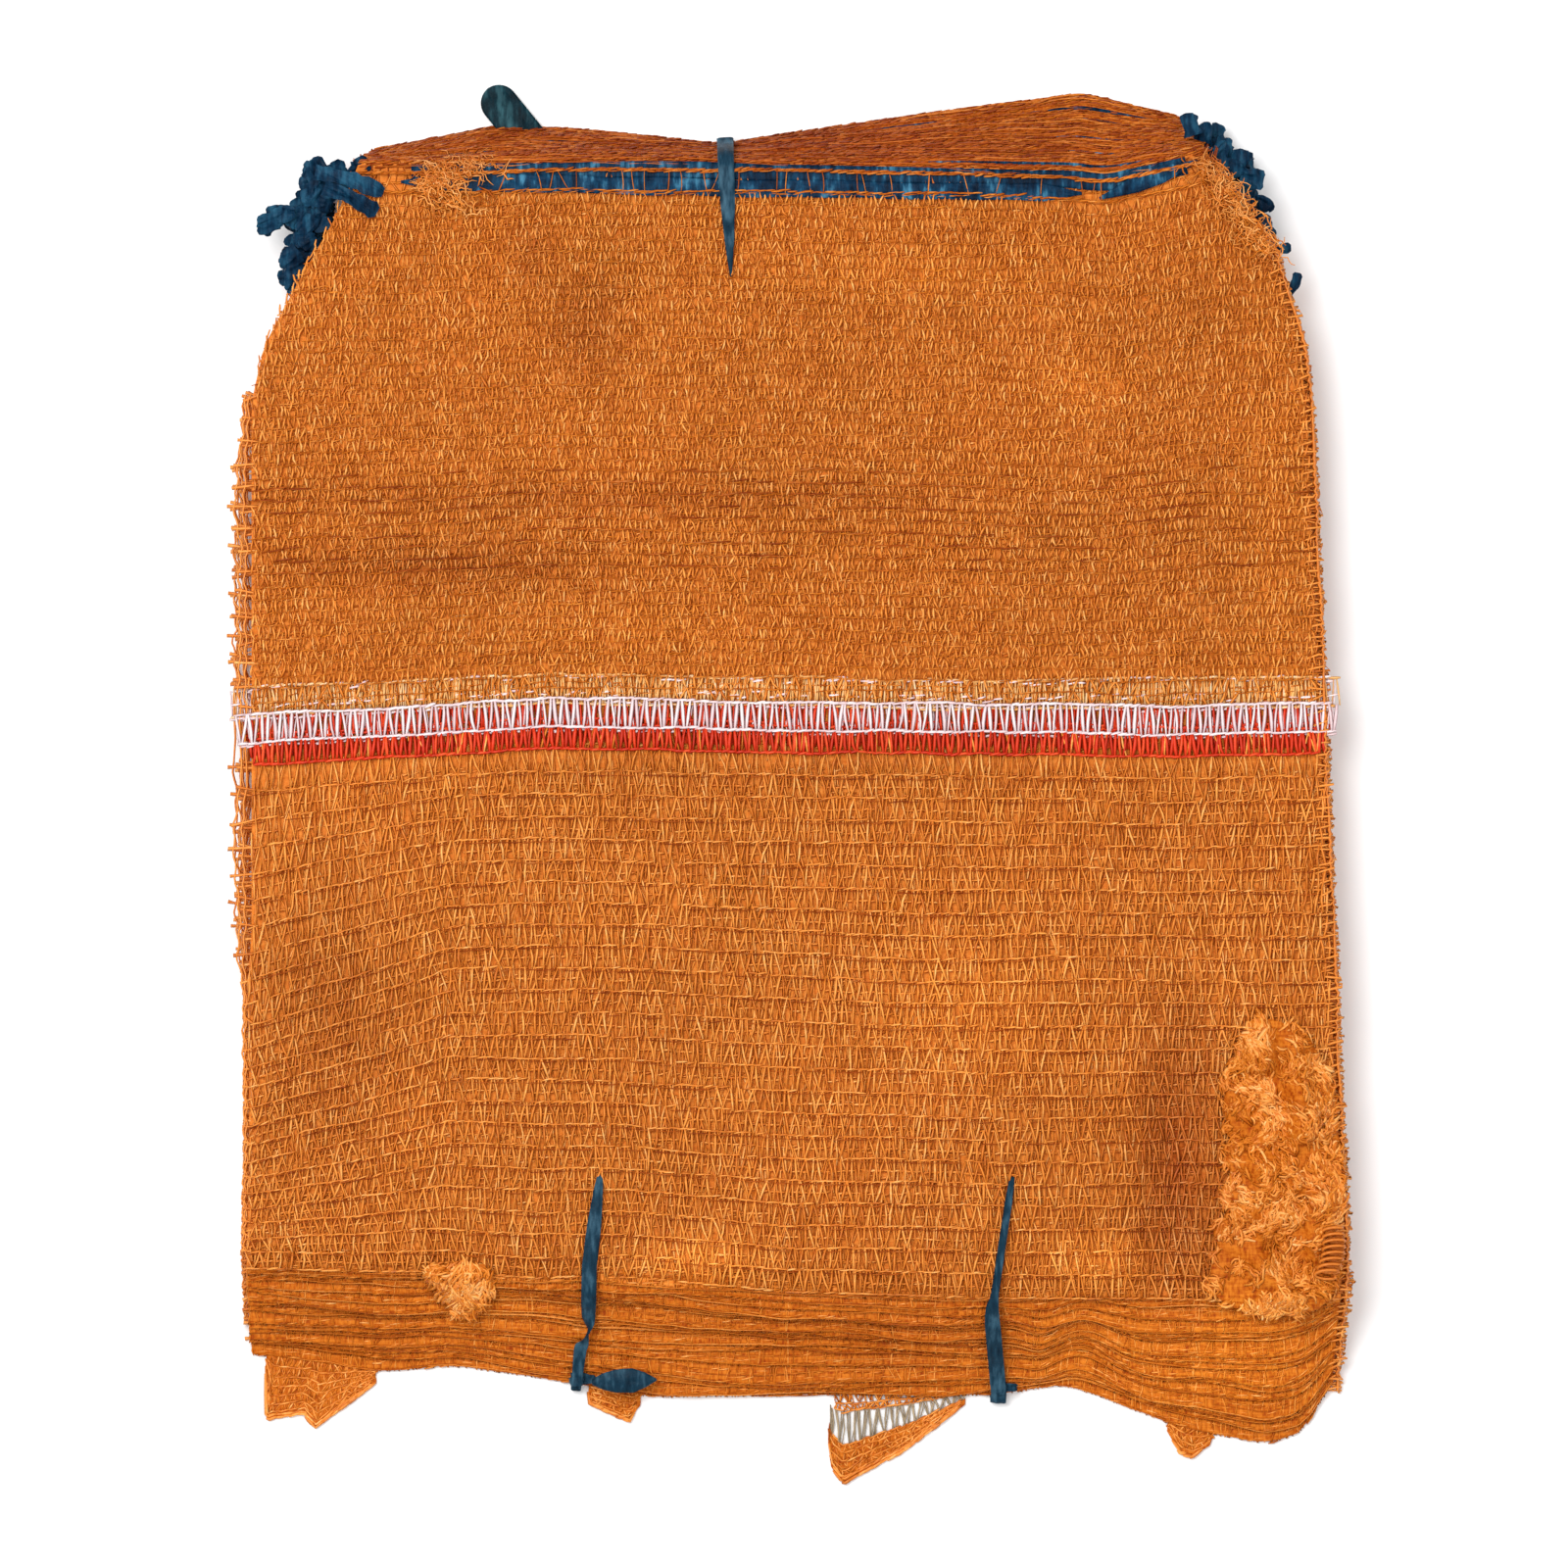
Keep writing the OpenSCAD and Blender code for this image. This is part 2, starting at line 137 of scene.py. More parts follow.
# Painted shade and painted light: patches where the yarn's colour is darkened to stand for the pile's shade, or
# paled below 0 to stand for its lit spots: x, y, reach across, reach along, how much
PAINTED_SHADE_PATCHES = [
    (154, -150, 26, 84, 0.46), (-135, 86, 90, 16, 0.24), (-60, 112, 190, 11, 0.18), (-78, 178, 22, 30, 0.25),
    (-176, -95, 36, 75, 0.16), (76, -88, 56, 38, -0.20), (-32, -187, 34, 14, -0.38), (122, -186, 30, 13, -0.38),
    (10, 10, 150, 16, 0.10), (60, -212, 60, 22, 0.10), (168, -222, 56, 38, -0.34), (0, 252, 280, 24, 0.50),
    (110, -222, 20, 26, -0.2), (-120, -204, 34, 14, -0.15), (116, 157, 34, 20, -0.18), (48, 199, 70, 14, -0.14),
    (-99, 209, 12, 26, 0.18), (190, 90, 26, 120, -0.12), (-60, 60, 60, 14, -0.12),
]


# ---- numbers that look like chance
def hashed(i, j, seed):
    """An even number from 0 to 1 for each lattice point, the same on every machine."""
    h = (i.astype(np.int64) * 374761393 + j.astype(np.int64) * 668265263 + seed * 974634777) & 0x7FFFFFFF
    h = ((h ^ (h >> 13)) * 1274126177) & 0x7FFFFFFF
    return (h ^ (h >> 16)) / 0x7FFFFFFF


def noise(x, y, size, seed):
    """Smooth bumps from -1 to 1, about size across."""
    x, y = np.broadcast_arrays(np.asarray(x, float) / size, np.asarray(y, float) / size)
    i, j = np.floor(x), np.floor(y)
    f, g = x - i, y - j
    f, g = f * f * (3 - 2 * f), g * g * (3 - 2 * g)
    low = hashed(i, j, seed) * (1 - f) + hashed(i + 1, j, seed) * f
    high = hashed(i, j + 1, seed) * (1 - f) + hashed(i + 1, j + 1, seed) * f
    return 2 * (low * (1 - g) + high * g) - 1


def scatter(k, step):
    return (k * step) % 1.0


def chance(seed):
    return np.random.Generator(np.random.PCG64(seed))


# ---- vectors
def unit(v, tiny=1e-9):
    return v / (np.linalg.norm(v, axis=-1, keepdims=True) + tiny)


def xyz(x, y, z):
    """Points from their coordinates, which are spread to one shape first."""
    return np.stack(np.broadcast_arrays(x, y, z), axis=-1)


def headed(degrees):
    return np.array([math.cos(math.radians(degrees)), math.sin(math.radians(degrees)), 0.0])


def turned(x, y, degrees):
    """How far a place lies along a heading, and to its left."""
    c, s, _ = headed(degrees)
    return x * c + y * s, y * c - x * s


def rounded(depth):
    """Share of a pressed bag's thickness at a depth in from its edge, up to EDGE_R."""
    return np.sqrt(depth * (2 * EDGE_R - depth)) / EDGE_R


# ---- the pile's shape
def lookup(points, at, soften=5.0):
    """Height of an outline at a place along it, with its corners eased."""
    xs, ys = zip(*points)
    return sum(np.interp(np.asarray(at, float) + d, xs, ys) for d in (-soften, 0, soften)) / 3


def left_side(y):
    return lookup(LEFT_SIDE, y, 3)


def right_side(y):
    return lookup(RIGHT_SIDE, y, 3)


def floor_z(k):
    return (BAGS - k) * BAG_T


def mid_z(k):
    return floor_z(k) + BAG_T / 2


def tied(x):
    """1 at the two lower ties and 0 away from them."""
    return np.exp(-((x - TIE_LEFT[0] + 6) / 14) ** 2) + np.exp(-((x - TIE_RIGHT[0] + 3) / 14) ** 2)


def fold_edge(k, x):
    size = (0.6 if k == 1 else 1.0 if k < BAGS else 0.2) * (1 - 0.6 * tied(x))
    ruffle = size * (3.4 * noise(x, k * 34.0, 80, 5) + 1.0 * noise(x, k * 90.0, 24, 7))
    middle = math.sin(math.pi * (k - 1) / (BAGS - 1))
    wave = middle * sum(high * np.exp(-((x - at) / wide) ** 2) for at, wide, high in FOLD_WAVE)
    return lookup(FOLD, x) - FOLD_STEPS[k - 1] * lookup(FOLD_FAN, x) + ruffle + wave


def mouth_edge(k, x):
    ruffle = (0.5 if k in (1, BAGS) else 1.0) * noise(x, k * 90.0, 42, 6)
    if k == 1:
        return lookup(MOUTH, x) + ruffle
    fan = lookup(MOUTH_FAN, x)
    return lookup(MOUTH, x) + SECOND_MOUTH + MOUTH_STEPS[k - 1] * (fan - SECOND_MOUTH) + ruffle


def relief(x, y):
    """How far the top of the settled pile lies above or below its even height."""
    total = 0.9 * noise(x, y, 46, 11) + 0.5 * noise(x, y, 19, 12)
    for px, py, across, along, turn, height in RELIEF:
        dx, dy = turned(x - px, y - py, turn)
        total = total + height * np.exp(-(dx / across) ** 2 - (dy / along) ** 2)
    for px, py, heading, _ in (TIE_TOP, TIE_LEFT, TIE_RIGHT):
        dx, dy = turned(x - px, y - py, heading)
        total = total - TIE_SAG * np.clip(dx / 12 + 1, 0, 1) * np.exp(-(dy / 9) ** 2)
    side = np.minimum(x - left_side(y), right_side(y) - x)
    total = total - SIDE_SAG * np.exp(-np.clip(side, 0, None) / 9)
    return total * np.clip((np.abs(y - RUN_Y) - STRING_W) / 9, 0, 1)


def pile_z(x, y, z):
    """Where a point at height z of the even pile lies once the pile has settled."""
    return z * (1 + relief(x, y) / STACK_H)


def top_z(x, y):
    """Height of the pile's surface, its fanned edges taken as slopes."""
    below = (lookup(FOLD, x) - y) / lookup(FOLD_FAN, x)
    above = (y - lookup(MOUTH, x) - SECOND_MOUTH) / (lookup(MOUTH_FAN, x) - SECOND_MOUTH)
    down = np.clip(np.maximum(below, above), 0, 1)
    return pile_z(x, y, STACK_H - (STACK_H - BAG_T) * down)


def surface_z(x, y):
    """Height of the topmost bag at a place."""
    z = BAG_T + 0 * x
    for k in range(BAGS, 0, -1):
        z = np.where((y > fold_edge(k, x)) & (y < mouth_edge(k, x)), floor_z(k) + BAG_T, z)
    return pile_z(x, y, z)


def row_y(k, v, x):
    """Where course line v of bag k runs at x. Line 0 is the fold and MOUTH_LINE the mouth edge."""
    fold, mouth = fold_edge(k, x), mouth_edge(k, x)
    white = lookup(STRIPE, x) - WHITE_W / 2 + (STRIPE_RISE if k > 1 else 0)
    red, top, hem = white - RED_W, white + WHITE_W, mouth - HEM - STRING_W
    low = np.clip(v / LOW_ROWS, 0, 1)
    y = fold + low * (red - fold)
    y = y + np.clip(v - LOW_ROWS, 0, 1) * (white - red)
    y = y + np.clip(v - LOW_ROWS - 1, 0, 1) * (top - white)
    y = y + np.clip((v - LOW_ROWS - 2) / UP_ROWS, 0, 1) * (hem - top)
    y = y + np.clip(v - HEM_LINE, 0, 1) * (mouth - hem)
    tilt = TILT * np.clip(TILT_X - x, 0, None) * np.sin(math.pi * low)
    free = np.clip(v, 0, 1) * np.clip(MOUTH_LINE - v, 0, 1)
    return y - tilt + free * (1.0 * noise(x, v * 9 + k * 70, 50, 3) + 0.5 * noise(x, v * 90, 13, 4))


def row_ends(k, v):
    """Leftmost and rightmost x of course line v of bag k."""
    left, right = left_side(row_y(k, v, -205.0)), right_side(row_y(k, v, 208.0))
    return left_side(row_y(k, v, left)), right_side(row_y(k, v, right))


def wall_place(k, side, lift=0.0):
    """Maps a place on the net of bag k, u along its courses and v up them, to the pile."""
    def place(u, v):
        x = u + 0.7 * noise(u, v * 9 + side * 40, 33, 8)
        y = row_y(k, v, x)
        inward = np.minimum(np.minimum(y - fold_edge(k, x), x - left_side(y)), right_side(y) - x)
        half = WALL_GAP * rounded(np.clip(inward, 0.05, EDGE_R))
        return xyz(x, y, pile_z(x, y, mid_z(k) + side * (half + lift)))
    return place


# ---- meshes
class Build:
    """Collects swept solids, in millimetres, for one mesh object."""

    def __init__(self):
        self.points, self.corners, self.sizes, self.slots, self.count = [], [], [], [], 0

    def faces(self, corner_ids, slot):
        corner_ids = corner_ids.reshape(-1, corner_ids.shape[-1])
        self.corners.append(corner_ids.ravel())
        self.sizes.append(np.full(len(corner_ids), corner_ids.shape[-1]))
        self.slots.append(np.full(len(corner_ids), slot))

    def sweep(self, rings, slot=0):
        """Closed solids from rings of points, (solids, rings, points of a ring, 3)."""
        solids, length, around = rings.shape[:3]
        ids = self.count + np.arange(solids * length * around).reshape(solids, length, around)
        self.count += ids.size
        self.points.append(rings.reshape(-1, 3))
        after = np.roll(ids, -1, axis=2)
        self.faces(np.stack([ids[:, :-1], after[:, :-1], after[:, 1:], ids[:, 1:]], axis=-1), slot)
        for cap in (ids[:, 0, ::-1], ids[:, -1]):
            if around <= 4:
                self.faces(cap, slot)
                continue
            j = np.arange(around // 2 - 1)
            quad = [cap[:, j], cap[:, j + 1], cap[:, around - 2 - j], cap[:, around - 1 - j]]
            self.faces(np.stack(quad, axis=-1), slot)

    def strands(self, path, width, thick, up=1.0, twist=None, slot=0):
        """Yarns along (yarns, points, 3) paths, or one (points, 3) path.

        They are flat below and ridged above, or the reverse if up is -1.
        """
        path = path.reshape(-1, *path.shape[-2:])
        along = unit(np.gradient(path, axis=1))
        side = unit(np.cross([0.0, 0.0, up], along), 1e-6)
        out = np.cross(along, side)
        if twist is not None:
            c, s = np.cos(twist)[..., None], np.sin(twist)[..., None]
            side, out = side * c + out * s, out * c - side * s
        w, t = np.asarray(width)[..., None] / 2, np.asarray(thick)[..., None] / 2
        rings = np.stack([path - side * w - out * t, path + side * w - out * t, path + out * t], axis=2)
        self.sweep(rings, slot)

    def sheet(self, top, bottom, slot=0):
        """A closed thin solid between two (n, m, 3) grids, n along and m from its right to its left."""
        self.sweep(np.concatenate([bottom, top[:, ::-1]], axis=1)[None], slot)

    def film(self, path, width, side, thick=0.3, wrinkle=0.5, seed=1, cross=9, cup=0.0, slot=0):
        """A crinkled tape along path (n, 3), across side; width and side are one value or n."""
        along = unit(np.gradient(path, axis=0))
        side = unit(side - along * np.sum(side * along, axis=1, keepdims=True))
        out = np.cross(along, side)
        run = np.concatenate([[0], np.cumsum(np.linalg.norm(np.diff(path, axis=0), axis=1))])[:, None]
        a = np.linspace(-0.5, 0.5, cross)[None, :]
        off = a * (width + 0 * path[:, 0])[:, None]
        crimp = noise(off * 1.6 + 0.25 * run, run * 0.32, 1.7, seed) + 0.7 * noise(off, run, 3.1, seed + 1)
        edge = 1 - (2 * a) ** 6
        height = wrinkle * crimp * (0.35 + 0.65 * edge) + cup * (2 * a) ** 2
        middle = path[:, None] + side[:, None] * off[..., None] + out[:, None] * height[..., None]
        half = thick / 2 * (0.25 + 0.75 * edge)[..., None] * out[:, None]
        self.sheet(middle + half, middle - half, slot)

    def make(self, name, materials, smooth=True):
        mesh = bpy.data.meshes.new(name)
        points = np.concatenate(self.points) * MM
        points[:, 2] = np.maximum(points[:, 2], 0)
        corners, sizes = np.concatenate(self.corners), np.concatenate(self.sizes)
        mesh.vertices.add(len(points))
        mesh.vertices.foreach_set("co", points.astype(np.float32).ravel())
        mesh.loops.add(len(corners))
        mesh.loops.foreach_set("vertex_index", corners.astype(np.int32))
        mesh.polygons.add(len(sizes))
        starts = np.concatenate([[0], np.cumsum(sizes)[:-1]])
        mesh.polygons.foreach_set("loop_start", starts.astype(np.int32))
        mesh.polygons.foreach_set("material_index", np.concatenate(self.slots).astype(np.int32))
        mesh.polygons.foreach_set("use_smooth", np.full(len(sizes), smooth))
        mesh.update(calc_edges=True)
        mesh.validate()
        for material in materials:
            mesh.materials.append(material)
        obj = bpy.data.objects.new(name, mesh)
        bpy.context.scene.collection.objects.link(obj)
        return obj


# ---- knitting
def add_rungs(build, place, courses, ends, seed, step=RUNG_STEP, lean=0.3, width=RUNG_W, thick=RUNG_T,
              points=3, up=1.0, slot=0, keep=1.0, jitter=0.3, lift=0.15, mess=0.0, uneven=1.0, cut=0.0):
    """The flat yarns that cross each course from one chain to the next, in leaning pairs."""
    draw = chance(seed)
    courses = np.asarray(courses, float)
    left, right = ends(courses)
    columns = np.arange(left.min() - step, right.max() + step, step)
    course, base = np.meshgrid(courses, columns, indexing="ij")
    base = base + draw.uniform(0, step, len(courses))[:, None]
    way = np.where((np.arange(len(columns))[None] + np.arange(len(courses))[:, None]) % 2, 1.0, -1.0)
    way = way * lean * (1 + uneven * draw.uniform(-1, 1, base.shape))
    foot = base + way * step + draw.normal(0, jitter, base.shape)
    head = base - way * step + draw.normal(0, jitter, base.shape)
    course = course + mess * draw.normal(0, 1, base.shape)
    low, high = np.minimum(foot, head), np.maximum(foot, head)
    inside = (low > left[:, None]) & (high < right[:, None]) & (draw.uniform(0, 1, base.shape) < keep)
    foot, head, course = foot[inside], head[inside], course[inside]
    s = np.linspace(0, 1, points)[None, :]
    bow = draw.normal(0, 0.25, foot.shape)[:, None] * np.sin(math.pi * s)
    u, v = foot[:, None] * (1 - s) + head[:, None] * s + bow, course[:, None] + cut + (1 - 2 * cut) * s
    path = place(u, v)
    path[..., 2] += up * lift * np.sin(math.pi * s) * draw.uniform(0, 2, foot.shape)[:, None]
    size = draw.uniform(0.7, 1.25, foot.shape)[:, None] * (0.75 + 0.3 * np.sin(math.pi * s))
    twist = draw.normal(0, 0.3, foot.shape)[:, None]
    build.strands(path, width * size, thick * (0.6 + 0.4 * size), up, twist, slot)


def add_chains(build, place, lines, ends, seed, loop=LOOP_STEP, points=4, width=CHAIN_W, thick=CHAIN_T,
               up=1.0, slot=0, ragged=0.0, mess=0.0, keep=1.0):
    """The chains along the course lines: short loops of yarn, each laid over the start of the next."""
    draw = chance(seed)
    lines = np.asarray(lines, float)
    left, right = ends(lines)
    left, right = left - ragged * draw.uniform(0, 1, len(lines)), right + 0.3 * ragged
    columns = np.arange(left.min(), right.max(), loop)
    line, base = np.meshgrid(lines, columns, indexing="ij")
    base = base + draw.uniform(0, loop, len(lines))[:, None] + draw.normal(0, 0.2, base.shape)
    inside = (base > left[:, None] + loop / 2) & (base < right[:, None] - loop / 2)
    inside &= draw.uniform(0, 1, base.shape) < keep
    line = line + mess * draw.normal(0, 1, base.shape)
    base, line = base[inside][:, None], line[inside][:, None]
    s = np.linspace(-1, 1, points)[None, :]
    way = draw.normal(0.24, 0.16, base.shape)
    path = place(base + s * loop * draw.uniform(0.62, 0.78, base.shape), line + 0 * s)
    path[..., 1] += way * s
    path[..., 2] += up * (draw.uniform(-0.2, 0.25, base.shape) + 0.1 * (1 - s * s))
    size = draw.uniform(0.75, 1.2, base.shape) * (1.05 - 0.45 * s * s)
    build.strands(path, width * size, thick * size, up, draw.normal(0, 0.3, base.shape), slot)


def knit_wall(build, k, side, seed, lines, courses, shift=0.0, slot=0, ragged=1.5, lift=0.0, points=4,
              step=RUNG_STEP, loop=LOOP_STEP, mess=0.0, keep=1.0, lean=0.3, width=RUNG_W,
              chain=CHAIN_W, cut=0.0, chain_slot=0):
    """One wall of the net of bag k; side is 1 for its upper wall and -1 for its lower one."""
    place, ends = wall_place(k, side, lift), lambda v: row_ends(k, v)
    up = -1.0 if k == BAGS and side < 0 else 1.0
    add_rungs(build, place, np.asarray(courses) + shift, ends, seed, up=up, slot=slot, step=step, mess=mess,
              lean=lean, width=width, cut=cut)
    add_chains(build, place, np.asarray(lines) + shift, ends, seed + 1, up=up, slot=chain_slot, ragged=ragged,
               points=points, mess=mess / 4, keep=keep, loop=loop, width=chain)


def fill_grid(k, columns=84):
    """x and y of a grid over bag k, closer along its edges, (columns, rows)."""
    near = np.array([0, 0.35, 1.0, 2.4, 5, 9, 15, 24, 36])
    along = np.concatenate([near, np.linspace(42, 388, 64 if k == 2 else 9), 430 - near[::-1]]) / 430
    across = np.concatenate([near[:4], np.linspace(5, 418, columns), 423 - near[3::-1]]) / 423
    a, b = np.meshgrid(across, along, indexing="ij")
    x = -212 + 428 * a
    for _ in range(4):
        low, high = fold_edge(k, x) + 0.4, mouth_edge(k, x) - 0.3
        y = low + b * (high - low)
        x = left_side(y) + 0.3 + a * (right_side(y) - left_side(y) - 0.6)
    return x, y


def add_fill(build, k, low, high, slot=0):
    """The pressed body of a lower bag, between two heights above its floor."""
    x, y = fill_grid(k)
    inward = np.minimum(np.minimum(y - fold_edge(k, x), mouth_edge(k, x) - y),
                        np.minimum(x - left_side(y), right_side(y) - x))
    half = (high - low) / 2 * rounded(np.clip(inward - 0.25, 0.02, EDGE_R))
    middle = floor_z(k) + (low + high) / 2
    build.sheet(xyz(x, y, pile_z(x, y, middle + half)), xyz(x, y, pile_z(x, y, middle - half)), slot)


def add_fold_rim(build, k, seed, slot=0, step=1.5):
    """Yarns that wrap round the fold of bag k, and the chains beside it."""
    draw = chance(seed)
    x = np.arange(-210, 216, step)
    x = x + draw.normal(0, 0.6, len(x))
    depth = np.array([9.0, 4.5, 1.3, 0.05, 1.4])[None, :] * draw.uniform(0.6, 1.3, (len(x), 1))
    side = np.array([1.0, 1.0, 0.85, 0.0, -1.0])[None, :]
    lean = draw.normal(0, 0.9, len(x))[:, None]
    px = x[:, None] + lean * (depth - 4) / 5 + draw.normal(0, 0.15, (len(x), 5))
    py = fold_edge(k, px) + depth
    z = mid_z(k) + side * 0.92 + draw.uniform(-0.25, 0.2, len(x))[:, None] * np.abs(side)
    size = draw.uniform(0.5, 1.1, len(x))[:, None]
    z = z + draw.uniform(-0.2, 0.35, len(x))[:, None] * (depth > 3)
    build.strands(xyz(px, py, np.maximum(pile_z(px, py, z), 0.35)), RUNG_W * size, RUNG_T * size, 1.0,
                  draw.normal(0, 0.3, len(x))[:, None], slot)

    def place(u, v):
        y = fold_edge(k, u) + v + 0.5 * noise(u, v * 30 + k * 11, 24, 31)
        return xyz(u, y, pile_z(u, y, mid_z(k) + 0.85 * rounded(np.clip(v, 0.05, EDGE_R))))

    def ends(v):
        y = fold_edge(k, -200.0) + v
        return left_side(y) + 0.5, right_side(fold_edge(k, 212.0) + v) - 0.5
    add_chains(build, place, [0.7 + 0.8 * scatter(k, 0.37), 4.4, 8.0], ends, seed + 1, slot=slot, points=3,
               keep=0.7, mess=0.25, width=0.8)
    add_chains(build, place, [2.6, 6.2], ends, seed + 2, slot=slot + 1, points=3, keep=0.5, mess=0.5, width=0.7)


def add_flow(build, k, edge, offsets, seed, slot, width=0.7):
    """Long yarns that run along an edge of a lower bag, inward from it by the offsets."""
    draw = chance(seed)
    s = np.linspace(0, 1, 22)[None, :]
    for offset in offsets:
        start = np.arange(-206, 190, 30.0) + draw.uniform(0, 20, 14)
        x = start[:, None] + draw.uniform(22, 52, 14)[:, None] * s
        shift = offset * (1 + 0.25 * draw.normal(0, 1, 14))[:, None] * (1 + 0.4 * s)
        y = edge(k, x) + shift + 0.5 * noise(x, k * 13 + offset * 7, 9, seed)
        half = 0.95 * rounded(np.clip(np.abs(shift), 0.05, EDGE_R))
        keep = (x[:, -1] < right_side(y[:, -1])) & (x[:, 0] > left_side(y[:, 0]))
        size = (draw.uniform(0.7, 1.2, 14)[:, None] * (0.5 + 0.5 * np.sin(math.pi * s)))[keep]
        path = xyz(x, y, pile_z(x, y, mid_z(k) + half) + 0.15)[keep]
        build.strands(path, width * size, 0.5 * size, slot=slot)


def add_mouth_rim(build, k, seed, slot=0):
    """The chains along both mouth edges of a lower bag, and the pairs that cross its drawstring."""
    place, back, ends = wall_place(k, 1, 0.15), wall_place(k, -1, 0.1), lambda v: row_ends(k, v)
    # The outer mouth chains and the crossing pairs take the dark painted-shade yarn, for the shadowed mouth fan
    for wall, lines, more, to_slot, mess in ((place, [HEM_LINE, MOUTH_LINE - 0.12], 0, slot, 0.05),
                                             (place, [MOUTH_LINE - 0.25, MOUTH_LINE], 3, 3, 0.1),
                                             (back, [MOUTH_LINE], 1, slot, 0.0)):
        add_chains(build, wall, lines, ends, seed + more, slot=to_slot, width=0.8, thick=0.55, mess=mess)
    add_rungs(build, place, [HEM_LINE], ends, seed + 2, step=3.2, lean=0.5, width=0.6, slot=3, mess=0.05)


# ---- materials
def new_material(name, rough, specular=0.25):
    """A material with a fresh Principled shader, and its node tree and shader."""
    material = bpy.data.materials.new(name)
    material.use_nodes = True
    shader = material.node_tree.nodes["Principled BSDF"]
    for socket, value in (("Roughness", rough), ("Specular IOR Level", specular)):
        shader.inputs[socket].default_value = value
    return material, material.node_tree, shader


def add_node(tree, kind, *values, mode=None, **named):
    """A node with its first sockets and the named ones set, linked where a value is a socket."""
    node = tree.nodes.new("ShaderNode" + kind)
    if mode:
        setattr(node, "gradient_type" if kind == "TexGradient" else "operation", mode)
    for key, value in [*enumerate(values), *named.items()]:
        socket = node.inputs[key]
        if isinstance(value, bpy.types.NodeSocket):
            tree.links.new(value, socket)
        else:
            socket.default_value = value
    return node


def noise_of(tree, scale, detail=2.0):
    """Noise in object coordinates, stretched by scale."""
    coords = add_node(tree, "TexCoord").outputs["Object"]
    spot = add_node(tree, "Mapping", coords, Scale=scale).outputs[0]
    return add_node(tree, "TexNoise", Vector=spot, Scale=1.0, Detail=detail).outputs["Fac"]


def math_of(tree, mode, a, b):
    return add_node(tree, "Math", a, b, mode=mode).outputs[0]


def mix_of(tree, a, much_a, b, much_b):
    return math_of(tree, "ADD", math_of(tree, "MULTIPLY", a, much_a), math_of(tree, "MULTIPLY", b, much_b))


def ramp_of(tree, factor, stops):
    node = add_node(tree, "ValToRGB", factor)
    band = node.color_ramp
    while len(band.elements) < len(stops):
        band.elements.new(0.5)
    for element, (place, colour) in zip(band.elements, stops):
        element.position = place
        element.color = (*colour, 1)
    return node.outputs["Color"]


def coloured(tree, shader, colour, height, strength, distance):
    """Gives the shader its colour and its bumps."""
    tree.links.new(colour, shader.inputs["Base Color"])
    bump = add_node(tree, "Bump", Height=height, Strength=strength, Distance=distance)
    tree.links.new(bump.outputs[0], shader.inputs["Normal"])


def with_painted_shade(tree, colour):
    """A colour made deeper and redder in the painted shade patches and paler in the painted light ones, which
    stand for the pile's shade and lit spots.
    """
    for x, y, across, along, much in PAINTED_SHADE_PATCHES:
        coords = add_node(tree, "TexCoord").outputs["Object"]
        spot = add_node(tree, "Mapping", coords, Location=(-x / across, -y / along, 0),
                        Scale=(1 / across / MM, 1 / along / MM, 0))
        ball = add_node(tree, "TexGradient", spot.outputs[0], mode="SPHERICAL").outputs["Fac"]
        change = add_node(tree, "VectorMath", ball, [much * part for part in PAINTED_SHADE_TINT], (1, 1, 1),
                          mode="MULTIPLY_ADD")
        colour = add_node(tree, "VectorMath", colour, change.outputs[0], mode="MULTIPLY").outputs[0]
    return colour


def yarn_material(name, stops, broad, specular=0.25):
    """Slit-film yarn: each yarn has its own tone, with fibrils along it, slow changes over the bag, and the
    painted shade and painted light patches laid over it.
    """
    material, tree, shader = new_material(name, 0.42, specular)
    own = add_node(tree, "NewGeometry").outputs["Random Per Island"]
    fine = noise_of(tree, (900, 900, 900), 3)
    colour = ramp_of(tree, mix_of(tree, own, 0.55, fine, 0.5), stops)
    slow = math_of(tree, "MULTIPLY", noise_of(tree, (16, 22, 16), 3), broad * 2)
    colour = add_node(tree, "VectorMath", colour, Scale=math_of(tree, "ADD", slow, 1 - broad), mode="SCALE")
    coloured(tree, shader, with_painted_shade(tree, colour.outputs[0]), fine, 0.35, 0.0002)
    return material


def fill_material(name, stops):
    """The pressed mass of a lower bag: fine speckle of yarns seen edge on, in lines along the courses, with the
    painted shade and painted light patches laid over it.
    """
    material, tree, shader = new_material(name, 0.6, 0.08)
    mixed = mix_of(tree, noise_of(tree, (900, 300, 300)), 0.6, noise_of(tree, (60, 900, 900)), 0.5)
    coloured(tree, shader, with_painted_shade(tree, ramp_of(tree, mixed, stops)), mixed, 0.9, 0.0008)
    return material


def film_material(name, stops):
    """Blue polyethylene film: streaky and crinkled, a little glossy, with its palest streaks a painted
    highlight on the crinkles.
    """
    material, tree, shader = new_material(name, 0.42, 0.06)
    mixed = mix_of(tree, noise_of(tree, (520, 130, 130), 4), 0.6, noise_of(tree, (90, 90, 90)), 0.45)
    coloured(tree, shader, ramp_of(tree, mixed, stops), noise_of(tree, (1300, 1300, 900), 4), 0.6, 0.0004)
    return material


# Painted shade: the tint by which the dark patches multiply the colour
PAINTED_SHADE_TINT = (-0.75, -1.15, -1.2)   # change of red, green and blue at the middle of a dark patch
# Colours are stops of a ramp: where, (red, green, blue)
ORANGE = [(0.15, (0.49, 0.110, 0.008)), (0.45, (0.72, 0.215, 0.023)), (0.72, (0.85, 0.320, 0.056)),
          (0.92, (0.94, 0.490, 0.160))]
